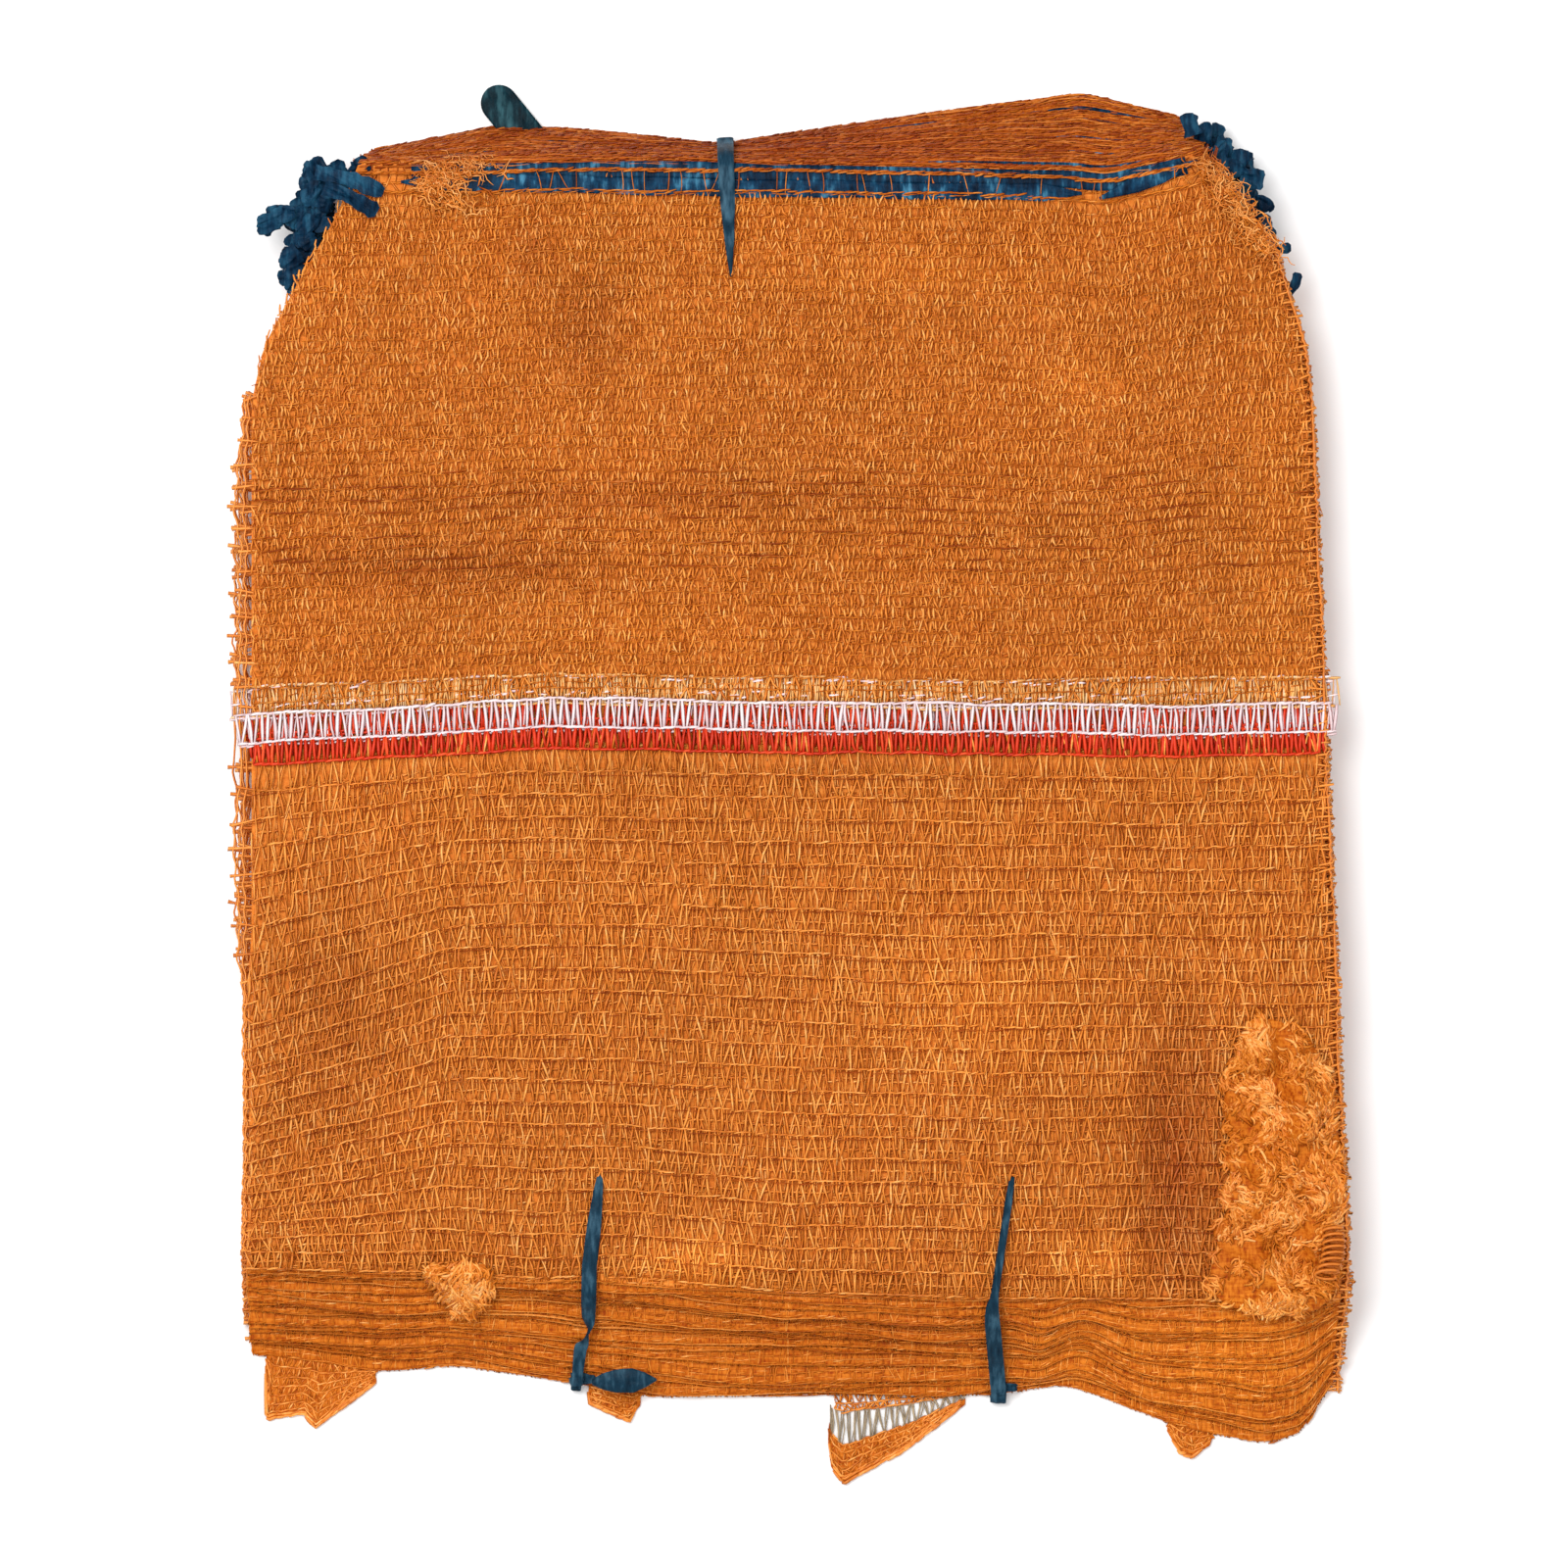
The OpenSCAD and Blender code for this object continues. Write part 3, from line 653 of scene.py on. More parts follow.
# Painted shade: a darker copy of the net yarn, for the lower layers, fold rims, flaps and the top bag's
# toned-down chains
ORANGE_LOW_SHADE = [(0.12, (0.28, 0.042, 0.001)), (0.40, (0.50, 0.120, 0.006)), (0.68, (0.65, 0.190, 0.016)),
              (0.90, (0.83, 0.340, 0.075))]
# Painted shade: a darker copy of the net yarn, for the shadowed mouth fan and thin dark lines beside the chains
ORANGE_DARK_SHADE = [(0.15, (0.20, 0.024, 0.001)), (0.45, (0.33, 0.056, 0.003)), (0.72, (0.44, 0.096, 0.008)),
               (0.92, (0.60, 0.220, 0.055))]
# Painted highlight: a paler copy of the net yarn, for strands that stand for glints
PALE_HIGHLIGHT = [(0.2, (0.72, 0.25, 0.038)), (0.6, (0.84, 0.34, 0.075)), (0.9, (0.93, 0.50, 0.18))]
ORANGE_DEEP = [(0.25, (0.46, 0.095, 0.009)), (0.5, (0.66, 0.180, 0.020)), (0.75, (0.80, 0.280, 0.045))]
# Painted shade: the dark red fill that shows between the lower bags' fold edges, under the flaps' rungs and in
# the bunch's cracks
ORANGE_SHADE = [(0.38, (0.27, 0.036, 0.001)), (0.5, (0.43, 0.090, 0.003)), (0.66, (0.60, 0.165, 0.012))]
# Painted shade: grey yarns standing for the shade seen through the mid flap's open course
GREY_SHADE = [(0.2, (0.26, 0.20, 0.13)), (0.8, (0.48, 0.36, 0.22))]
WHITE = [(0.2, (0.68, 0.48, 0.49)), (0.6, (0.82, 0.66, 0.67)), (0.9, (0.93, 0.84, 0.83))]
VEILED = [(0.2, (0.68, 0.30, 0.07)), (0.6, (0.80, 0.44, 0.15)), (0.9, (0.90, 0.70, 0.45))]
RED = [(0.2, (0.45, 0.018, 0.003)), (0.6, (0.66, 0.036, 0.006)), (0.9, (0.80, 0.10, 0.020))]
# Painted highlight: the top stop of each film ramp, light streaks across the tape standing for glints on its
# crinkles
BLUE = [(0.40, (0.001, 0.007, 0.019)), (0.50, (0.002, 0.019, 0.047)), (0.58, (0.004, 0.040, 0.088)),
        (0.70, (0.05, 0.19, 0.30))]
BLUE_CRUSHED = [(0.38, (0.001, 0.007, 0.019)), (0.52, (0.003, 0.024, 0.055)), (0.68, (0.016, 0.080, 0.140))]
BLUE_TIE = [(0.35, (0.002, 0.012, 0.024)), (0.52, (0.007, 0.031, 0.055)), (0.70, (0.045, 0.110, 0.160))]
BLUE_LOOP = [(0.38, (0.0, 0.006, 0.010)), (0.52, (0.001, 0.017, 0.026)), (0.70, (0.030, 0.095, 0.115))]

NET_YARN = yarn_material("net_yarn_knit", ORANGE, broad=0.12)
LOW_SHADE_YARN = yarn_material("net_yarn_knit_low", ORANGE_LOW_SHADE, broad=0.15, specular=0.12)
DARK_SHADE_YARN = yarn_material("net_yarn_knit_mouth", ORANGE_DARK_SHADE, broad=0.2, specular=0.12)
HIGHLIGHT_YARN = yarn_material("net_yarn_knit_pale", PALE_HIGHLIGHT, broad=0.08)
NET_FILL = fill_material("net_yarn_pressed", ORANGE_DEEP)
SHADE_FILL = fill_material("net_yarn_pressed_low", ORANGE_SHADE)
GREY_SHADE_YARN = yarn_material("net_yarn_thin", GREY_SHADE, broad=0.22)
SEAM_YARN = yarn_material("seam_yarn_overlock", ORANGE, broad=0.12)
WHITE_YARN = yarn_material("white_yarn_knit", WHITE, broad=0.08)
VEILED_YARN = yarn_material("white_yarn_veiled", VEILED, broad=0.08)
RED_YARN = yarn_material("red_yarn_knit", RED, broad=0.12)
STRING_FILM = film_material("drawstring_film_crinkled", BLUE)
TAIL_FILM = film_material("drawstring_film_crushed", BLUE_CRUSHED)
TIE_FILM = film_material("tie_film_flat", BLUE_TIE)
LOOP_FILM = film_material("drawstring_film_folded", BLUE_LOOP)


# ---- the pieces
def add_piece(build, name, node, materials, body="bundle", smooth=True):
    """Makes a build into a piece that stands for a node, and rides a body if there is one."""
    obj = build.make(name, materials, smooth)
    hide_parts(node)
    if body:
        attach(obj, body)
    return obj


def curls(x, y, half, turn, curl, s):
    """x and y along short curved yarns about the points x, y, for s from -1 to 1 along each."""
    c, w = np.cos(turn)[:, None], np.sin(turn)[:, None]
    return x[:, None] + half * s * c - curl * w, y[:, None] + half * s * w + curl * c


def add_frays(build, line, reach, seed, count, left=-999):
    """Loose curly yarns strewn along a line, (x, y) to (x, y), and up to reach away, right of x = left."""
    draw = chance(seed)
    (x0, y0), (x1, y1) = line
    t = draw.uniform(0, 1, count)
    x = x0 + t * (x1 - x0) + reach[0] * draw.normal(0, 0.5, count)
    x = left + np.abs(x - left)
    y = y0 + t * (y1 - y0) + reach[1] * draw.normal(0, 0.5, count)
    turn = math.atan2(y1 - y0, x1 - x0) + draw.normal(0, 0.8, count)
    s = np.linspace(-1, 1, 7)[None, :]
    half = draw.uniform(1.5, 6.0, count)[:, None]
    curl = draw.normal(0, 1.5, count)[:, None] * (s * s - 0.5) + 0.6 * draw.normal(0, 1, (count, 7))
    px, py = curls(x, y, half, turn, curl, s)
    path = xyz(px, py, surface_z(px, py) + 0.4 + draw.uniform(0, 1.6, count)[:, None] * (1 - s * s))
    size = draw.uniform(0.4, 0.8, count)[:, None] * (1 - 0.5 * s * s)
    # A third each in the plain yarn, its darker painted-shade copy and its paler painted-highlight copy
    for slot in range(3):
        part = slice(slot * (count // 3), (slot + 1) * (count // 3))
        build.strands(path[part], size[part], 0.5 * size[part], slot=slot)


def top_bag():
    """Bag 1: an upper and a lower wall, knitted yarn by yarn, each in a half below and above its stripe."""
    low, high = np.arange(LOW_ROWS), np.arange(LOW_ROWS + 2, HEM_LINE)
    halves = {name: Build() for name in ("front_lower", "front_upper", "back_lower", "back_upper")}
    lower, upper = halves["front_lower"], halves["front_upper"]
    knit_wall(lower, 1, 1, 100, low, low, mess=0.05, keep=0.85, chain=0.85)
    knit_wall(upper, 1, 1, 102, np.append(high[1:], HEM_LINE), high[2:], points=3, step=2.05, mess=0.10,
              keep=0.8, lean=0.17, width=0.9, chain=0.5, cut=0.08, chain_slot=1)
    knit_wall(halves["back_lower"], 1, -1, 110, low[:-1], low[:-1], shift=0.45, points=3, mess=0.05, keep=0.7,
              lift=-0.35)
    knit_wall(halves["back_upper"], 1, -1, 112, high[:-1], high[:-1], shift=0.45, points=3, step=2.6, mess=0.08,
              keep=0.6, lean=0.17, width=0.85, lift=-0.4, chain=0.6, cut=0.05, chain_slot=1)
    place, ends = wall_place(1, 1, 0.25), lambda v: row_ends(1, v)
    add_rungs(lower, place, [LOW_ROWS], ends, 104, keep=0.35)
    add_rungs(upper, wall_place(1, 1), high[:2], ends, 107, keep=0.45)
    # Painted shade: thin dark chains just below the courses, standing for shadow lines beside the chains
    add_chains(lower, wall_place(1, 1, 0.1), low[1:] - 0.15, ends, 116, loop=5.0, width=0.42, slot=3, keep=0.7)
    # Painted shade: rows of dark chains across the middle of the upper half
    shade_streaked = high[(high > LOW_ROWS + 12) & (high < LOW_ROWS + 22)]
    add_chains(upper, wall_place(1, 1, 0.15), shade_streaked + 0.1, ends, 117, loop=7.0, width=0.6, slot=3, keep=0.45,
               mess=0.05)
    add_rungs(upper, place, [HEM_LINE], ends, 105, step=4.6, lean=0.1, width=0.45, jitter=0.9, points=4, slot=1,
              keep=0.45)
    add_frays(upper, ((-164, 246), (-128, 228)), (12, 5), 108, 260, left=-142)
    add_frays(upper, ((166, 243), (191, 206)), (7, 4), 109, 240)
    add_chains(upper, place, [HEM_LINE + 0.1, MOUTH_LINE - 0.08, MOUTH_LINE], ends, 106, width=0.85, thick=0.6,
               slot=1, mess=0.02)
    for half, build in halves.items():
        wall = add_piece(build, "net_01_" + half, "net_01", [NET_YARN, LOW_SHADE_YARN, HIGHLIGHT_YARN, DARK_SHADE_YARN])


def lower_bag(k):
    """A lower bag: its pressed body, with yarns along the edges that show."""
    build = Build()
    add_fill(build, k, 0.8 if k == BAGS else 0.15, 1.25 if k == 2 else 1.8)
    add_fold_rim(build, k, 200 + 7 * k, 1)
    add_mouth_rim(build, k, 203 + 7 * k, 1)
    add_flow(build, k, fold_edge, (0.5, 3.2), 1200 + k, 1, 0.6)
    add_flow(build, k, mouth_edge, (-0.4, -2.2), 1230 + k, 1, 0.8)
    # Bags below the second get the painted-shade fill, dark between their fold edges
    name, fill = "net_%02d" % k, NET_FILL if k == 2 else SHADE_FILL
    bag = add_piece(build, name + "_knit", name, [fill, LOW_SHADE_YARN, NET_YARN, DARK_SHADE_YARN])
    if k == BAGS:
        lines, wall = np.arange(1, HEM_LINE), Build()
        knit_wall(wall, k, -1, 130, lines, lines, points=3, step=4.4, loop=4.4, mess=0.05, keep=0.8)
        wall = add_piece(wall, name + "_wall", name, [LOW_SHADE_YARN])
    if k == 2:
        lines, wall = np.r_[1:LOW_ROWS, LOW_ROWS + 3:HEM_LINE], Build()
        knit_wall(wall, k, 1, 120, lines, lines, shift=0.2, points=3, lift=0.35, step=3.3, mess=0.2, keep=0.6)
        wall = add_piece(wall, name + "_wall", name, [NET_YARN])


def ladder(build, place, ends, low, high, seed, slot=0, step=2.5, width=0.95, chains=(1, 1), keep=1.0):
    """Rungs between two course lines, with a chain along either."""
    add_rungs(build, place, [low], ends, seed, step=step, lean=0.22, width=width, slot=slot, keep=keep,
              points=4, lift=0.2, uneven=0.3, jitter=0.2)
    lines = [line for line, shown in zip((low, high), chains) if shown]
    if lines:
        add_chains(build, place, lines, ends, seed + 1, width=1.3, slot=slot)


def wider_ends(k, reach):
    def ends(v):
        left, right = row_ends(k, v)
        return left - reach, right + reach
    return ends


def stripes():
    """The coloured courses of every bag."""
    white = LOW_ROWS + 1
    colours = (("white", WHITE_YARN), ("red", RED_YARN))
    for k, lift in ((1, 0.35), (2, 1.1)):
        place, back = wall_place(k, 1, lift), wall_place(k, -1)
        ends, near = wider_ends(k, 4 + 2 * k), wider_ends(k, 1)
        pale, deep = Build(), Build()
        ladder(pale, place, ends, white, white + 1, 300 + k, step=2.3, width=1.3 if k == 1 else 0.6, slot=k - 1)
        ladder(deep, place, near, LOW_ROWS, white, 310 + k, chains=(1, 0), width=1.5, step=1.8)
        ladder(deep, lambda u, v: back(u, v + 0.3), near, LOW_ROWS, white, 320 + k, chains=(0, 1), width=1.5,
               step=1.8)
        ladder(pale, lambda u, v: back(u, v - 0.15), ends, white, white + 1, 330 + k, width=0.8)
        if k == 2:
            add_rungs(pale, wall_place(k, 1, 1.0), [white], wider_ends(k, -2), 335, step=1.5, width=1.1, slot=1,
                      uneven=0.5)
            add_chains(pale, place, [white + 0.35, white + 0.95], ends, 336, width=1.1, keep=0.45, mess=0.06)
        for build, (colour, material) in zip((pale, deep), colours):
            node = "%s_stripe_%02d" % (colour, k)
            add_piece(build, node + "_knit", node, [material, VEILED_YARN])
    pale, deep = Build(), Build()
    for k in range(3, BAGS + 1):
        place, ends = wall_place(k, 1, 0.2), wider_ends(k, 3 + 3 * scatter(k, 0.618))
        add_chains(pale, place, [white, white + 1], ends, 340 + k, width=1.1)
        add_chains(deep, place, [LOW_ROWS], ends, 360 + k, width=1.3)
        add_rungs(pale, place, [white], ends, 380 + k, step=7)
        add_rungs(deep, place, [LOW_ROWS], ends, 400 + k, step=7)
    for build, (colour, material) in zip((pale, deep), colours):
        node = colour + "_stripes_lower"
        add_piece(build, node + "_knit", node, [material])


def string_run(run, seed):
    """One gathered run of the top bag's drawstring in its course."""
    x, y, heading, length = run
    s = np.linspace(0, length, int(length / 0.9))
    path = np.array([x, y, 0.0]) + s[:, None] * headed(heading)
    path[:, 1] += 0.5 * noise(s, 0, 22, seed)
    path[:, 2] = pile_z(path[:, 0], path[:, 1], STACK_H - 0.55)
    width = STRING_W - 0.6 + 0.7 * noise(s, 5, 14, seed + 1)
    width = width * np.clip(0.15 + np.minimum(s, length - s) / 18, 0, 1)
    build = Build()
    build.film(path, width, headed(heading + 90), wrinkle=0.42, seed=seed, cross=11)
    return build


def drawstrings():
    for side, run, seed in (("front", FRONT_RUN, 501), ("back", BACK_RUN, 502)):
        node = "drawstring_01_%s_run" % side
        add_piece(string_run(run, seed), node + "_film", node, [STRING_FILM],
                  side + "_string")
    for k in range(2, BAGS + 1):
        x = np.arange(-146, 158, 2.2)
        y = mouth_edge(k, x) - HEM - STRING_W / 2
        path = xyz(x, y, pile_z(x, y, floor_z(k) + BAG_T + 0.1))
        build, node = Build(), "drawstring_%02d" % k
        build.film(path, STRING_W - 0.5, headed(90), wrinkle=0.2, seed=510 + k, cross=7)
        add_piece(build, node + "_film", node, [STRING_FILM])


def tape_end(build, start, heading, length, z, seed, width=7.0, rise=0.8, bend=30, crush=1.0):
    """A crumpled end of tape: folded, kinked once, and cut blunt."""
    draw = chance(seed)
    s = np.linspace(0, length, 12)
    kink = draw.uniform(0.35, 0.75) * length
    turn = heading + (draw.normal(0, 0.3) + draw.normal(0, 1) * np.clip((s - kink) / 1.5, 0, 1)) * bend
    step = xyz(np.cos(np.radians(turn)), np.sin(np.radians(turn)), 0)
    path = np.array([*start, z]) + np.cumsum(step * (length / 11), axis=0)
    path[:, 2] += rise * np.sin(math.pi * s / length) + draw.normal(0, 0.5) * s / length
    path[:, 2] = np.maximum(path[:, 2], TAPE_LOW)
    size = width * (0.85 + 0.28 * crush * noise(s, seed, 2.6, 9)) * np.clip((length - s) / 2.2 + 0.6, 0, 1)
    roll = draw.normal(0, 0.2) + draw.normal(0, 0.35) * np.clip((s - kink) / 2, 0, 1)
    side = xyz(-step[:, 1] * np.cos(roll), step[:, 0] * np.cos(roll), np.sin(roll))
    build.film(path, size, side, thick=0.4, wrinkle=0.45 + 0.5 * crush, seed=seed, cross=8,
               cup=draw.uniform(-0.9, 0.9) * crush)


def crushed_tapes(build, line, count, headings, seed, low, high):
    """Short crumpled tape ends crowded along a line, (x, y) to (x, y)."""
    draw = chance(seed)
    (x0, y0), (x1, y1) = line
    for i in range(count):
        t = (i + draw.uniform(-0.3, 0.3)) / (count - 1)
        spot = (x0 + t * (x1 - x0) + draw.normal(0, 2.0), y0 + t * (y1 - y0) + draw.normal(0, 1.5))
        tape_end(build, spot, draw.uniform(*headings), draw.uniform(6.5, 10), draw.uniform(low, high),
                 seed + 1 + i, draw.uniform(6.5, 9.5))


def tape_tails():
    """Ends of the lower drawstrings, pulled out and crushed at both shoulders."""
    low, high = 3, STACK_H - 6
    # per shoulder: crowds of ends, single ends, and the height and width of these
    plans = {
        "left": ([(((-179, 240), (-184, 222)), 34, (120, 250), 600, low, high),
                  (((-183, 224), (-189, 199)), 36, (170, 260), 740, low, high),
                  (((-197, 221), (-186, 229)), 9, (185, 235), 800, STACK_H - 20, high),
                  (((-166, 238), (-180, 235)), 12, (-40, 60), 830, STACK_H - 12, STACK_H - 3)],
                 [((-195, 224), 206, 11, 640), ((-181, 240), 120, 6, 641), ((-190, 200), 245, 9, 642),
                  ((-190, 210), 215, 9, 643)], STACK_H - 6, {"width": 7.0, "bend": 14}),
        "right": ([(((161, 252), (175, 240)), 22, (-20, 110), 650, low, high),
                   (((175, 240), (185, 212)), 24, (-60, 60), 680, low, high)],
                  [((187, 206), 45, 12, 710), ((197, 191), 62, 10, 711)], STACK_H - 10, {"width": 4.5}),
    }
    for side, (crowds, singles, z, shape) in plans.items():
        build, node = Build(), "tape_tails_" + side
        for crowd in crowds:
            crushed_tapes(build, *crowd)
        for spot, heading, length, seed in singles:
            tape_end(build, spot, heading, length, z, seed, **shape)
        add_piece(build, node + "_film", node, [TAIL_FILM], smooth=False)


def string_end():
    """The top bag's drawstring where it leaves its course: two flat crumpled ends on the net."""
    build, node = Build(), "drawstring_01_end"
    for spot, heading, length, seed in (((-186, 240), -6, 28, 660), ((-182, 234), -20, 23, 661)):
        tape_end(build, spot, heading, length, STACK_H + 0.6, seed, 7.4, 0.5, bend=10, crush=0.8)
    add_piece(build, node + "_film", node, [TAIL_FILM], "front_string", smooth=False)


def pull_loop():
    """The wide folded drawstring that is pulled out of a mouth as a loop."""
    reach = LOOP_W / 2
    start = LOOP_LEN - reach
    s = np.append(np.linspace(0, start, 60), start + reach * np.sin(np.linspace(0.12, 1, 12) * math.pi / 2))
    path = np.array([*LOOP_TIP, 0.0]) + (s[:, None] - LOOP_LEN) * headed(LOOP_TURN)
    path[:, 2] = pile_z(path[:, 0], path[:, 1], mid_z(LOOP_BAG) - 0.15) + 0.15 * noise(s, 3, 16, 70)
    width = LOOP_W * np.sqrt(1 - np.clip((s - start) / reach, 0, 0.995) ** 2) - 0.4
    build = Build()
    build.film(path, width, headed(LOOP_TURN + 90), thick=0.6, wrinkle=0.35, seed=71, cross=17)
    add_piece(build, "pull_loop_film", "pull_loop", [LOOP_FILM], "loop")


def tie_band(tie, widths, twists, bends, seed):
    """A tie: up through its hole, over the fanned edges, and back under the bundle."""
    x, y, heading, far = tie
    s = np.linspace(0, far + 1.2, 90)
    route = np.array([x, y, 0.0]) + s[:, None] * headed(heading)
    route += np.interp(s, *zip(*bends))[:, None] * headed(heading + 90)
    z = surface_z(route[:, 0], route[:, 1]) + 1.2
    z = np.max([np.roll(np.pad(z, 5, mode="edge"), d)[5:-5] for d in range(-5, 6)], axis=0)
    z = np.convolve(np.pad(z, 3, mode="edge"), np.ones(7) / 7, mode="valid")
    z[:5] -= np.linspace(2.2, 0, 5)
    route[:, 2] = z
    hole = np.array([[x, y, h] for h in (1.0, STACK_H / 2, z[0] - 3)])
    down = np.array([[*route[-1, :2], h] for h in np.linspace(z[-1] - 0.6, 0.7, 4)])
    down[:, :2] += headed(heading)[:2] * np.array([0.7, 1.0, 0.9, 0.3])[:, None]
    under = route[::-9].copy()
    under[:, 2] = 0.45
    path = np.concatenate([hole, route, down, under])
    outer = (widths[0][1], widths[-1][1])
    width = np.pad(np.interp(s, *zip(*widths)), (3, 4 + len(under)), constant_values=outer)
    turn = np.radians(np.pad(np.interp(s, *zip(*twists)), (3, 4 + len(under))))[:, None]
    flat, along = headed(heading + 90), unit(np.gradient(path, axis=0))
    side = flat * np.cos(turn) + np.cross(along, flat) * np.sin(turn)
    build = Build()
    build.film(path, width, side, thick=0.35, wrinkle=0.16, seed=seed, cross=9, cup=-0.25)
    return build


def knot(build, tie, at, seed):
    """Tight turns of tape round the tie."""
    x, y, heading, _ = tie
    centre = np.array([x, y, 0.0]) + at * headed(heading)
    centre[2] = top_z(centre[0], centre[1]) + 2.2
    a = np.linspace(0, 5.2 * math.pi, 70)
    along, across, up = headed(heading), headed(heading + 90), np.array([0, 0, 1.0])
    radius = 2.3 + 0.5 * noise(a, 0, 2.0, seed)
    path = centre + across * (radius * np.cos(a))[:, None] + up * (0.85 * radius * np.sin(a))[:, None]
    path = path + along * (1.5 * np.sin(a * 0.38))[:, None]
    side = along + across * (0.5 * np.sin(a * 0.7))[:, None]
    build.film(path, 3.2 + 0.6 * np.sin(a), side, thick=0.4, wrinkle=0.3, seed=seed, cross=7)
    return centre


def ties():
    """The three ties, their knots, and the long tail of the left one."""
    straight = [(0, 0), (90, 0)]
    # per tie: its widths, twists in degrees and sideways bends, each along its visible run
    plans = {
        "top": (TIE_TOP, [(0, 0.8), (4, 1.8), (14, 3.8), (27, 5.6), (36, 6.2), (60, 6.6)],
                straight, straight, 701),
        "left": (TIE_LEFT, [(0, 2.2), (6, 3.6), (20, 5.6), (50, 6), (60, 5), (63, 3.6), (68, 5.2), (86, 4)],
                 [(0, 0), (57, 0), (69, 180), (90, 180)], [(0, 0), (36, 0), (62, 2.3), (70, 0)], 702),
        "right": (TIE_RIGHT, [(0, 2), (10, 3.2), (45, 3.8), (52, 5.4), (60, 6.2), (84, 6.2)],
                  [(0, 0), (12, 25), (48, 40), (56, 0), (90, 0)],
                  [(0, 0), (52, -5), (57, -4.6), (86, 0)], 703),
    }
    for side, plan in plans.items():
        node = "tie_" + side
        add_piece(tie_band(*plan), node + "_film", node, [TIE_FILM])
    # per knot: where along the tie, then its short end: place from the hole, drop, heading, width, bend
    for side, tie, at, seed, (dx, dy), (zx, zy, lift), heading, tape_seed, width, bend in (
            ("left", TIE_LEFT, KNOT_LEFT_AT, 711, (-10, -81.5), (-9, -82, 1.6), -6, 714, 5.0, 5),
            ("right", TIE_RIGHT, KNOT_RIGHT_AT, 712, (-5, -84), (0, -84, 2.5), 15, 713, 4.0, 30)):
        build, node = Build(), "tie_%s_knot" % side
        knot(build, tie, at, seed)
        z = top_z(tie[0] + zx, tie[1] + zy) + lift
        tape_end(build, (tie[0] + dx, tie[1] + dy), heading, 7, z, tape_seed, width, 0.6, bend=bend)
        add_piece(build, node + "_film", node, [TIE_FILM])
    low, high = (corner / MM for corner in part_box("tie_left_tail"))
    s = np.linspace(0, high.x - low.x, 34)
    path = xyz(low.x + s, (low.y + high.y) / 2 - 0.6 + 0.04 * s, (low.z + high.z) / 2 + 0.6 * np.sin(s / 8))
    width = np.interp(s, [0, 4, 9, 16, 21, 25.4], [2.4, 6.4, 9.2, 9.8, 6.0, 0.8])
    build = Build()
    build.film(path, width, np.array([0, 1.0, 0.12]), thick=0.5, wrinkle=0.5, seed=715, cross=13, cup=-0.7)
    add_piece(build, "tie_left_tail_film", "tie_left_tail", [TIE_FILM], "tie_tail")


def left_seam():
    """Raw selvedge: the chains run on past the last rungs and are joined by a wandering yarn."""
    build, node = Build(), "side_seams_left"
    s = np.linspace(0, 1, 6)[None, :]
    for k in range(1, BAGS + 1):
        draw = chance(800 + k)
        v = np.append(np.arange(1, LOW_ROWS), np.arange(LOW_ROWS + 2.5, HEM_LINE - 12, 1.8))
        v = v + 0.2 * (scatter(k, 0.618) - 0.5)
        y = row_y(k, v, -208.0)
        v, y = v[(y > -222) & (y < 156)], y[(y > -222) & (y < 156)]
        left = row_ends(k, v)[0][:, None]
        open_side = np.clip((y + 85) / 30, 0, 1) * np.clip((160 - y) / 40, 0, 1)
        longest = 7.5 if k % 3 == 1 else 3.5
        reach = 1.5 + draw.uniform(0.35, 1.0, len(v)) * (0.8 + longest * open_side)
        x = left + 3 - (reach + 3)[:, None] * s
        y = row_y(k, v[:, None] + 0 * s, left) + draw.normal(0, 0.6, len(v))[:, None] * s * 2
        z = pile_z(left, y, mid_z(k) + 0.3 * draw.uniform(-1, 1, len(v))[:, None] * s)
        size = 0.8 + 0.5 * s ** 3 + draw.normal(0, 0.12, x.shape)
        build.strands(xyz(x, y, z), 1.2 * size, 0.7 * size)
        if k % 3 == 1:
            rows = np.linspace(0, len(v) - 1, len(v) * 4)
            line, far = (np.interp(rows, np.arange(len(v)), values) for values in (v, reach))
            edge = row_ends(k, line)[0]
            y = row_y(k, line, edge)
            for share, seed in ((0.75, 0), (0.35, 1)):
                wander = 0.5 * np.sin(rows * math.pi * 2 + seed) + 0.5 * noise(rows, k, 1.3, 41)
                x = edge - far * share + wander
                build.strands(xyz(x, y, pile_z(edge, y, mid_z(k) + 0.3 * np.cos(rows))), 0.75, 0.5)
    add_piece(build, node + "_knit", node, [SEAM_YARN])


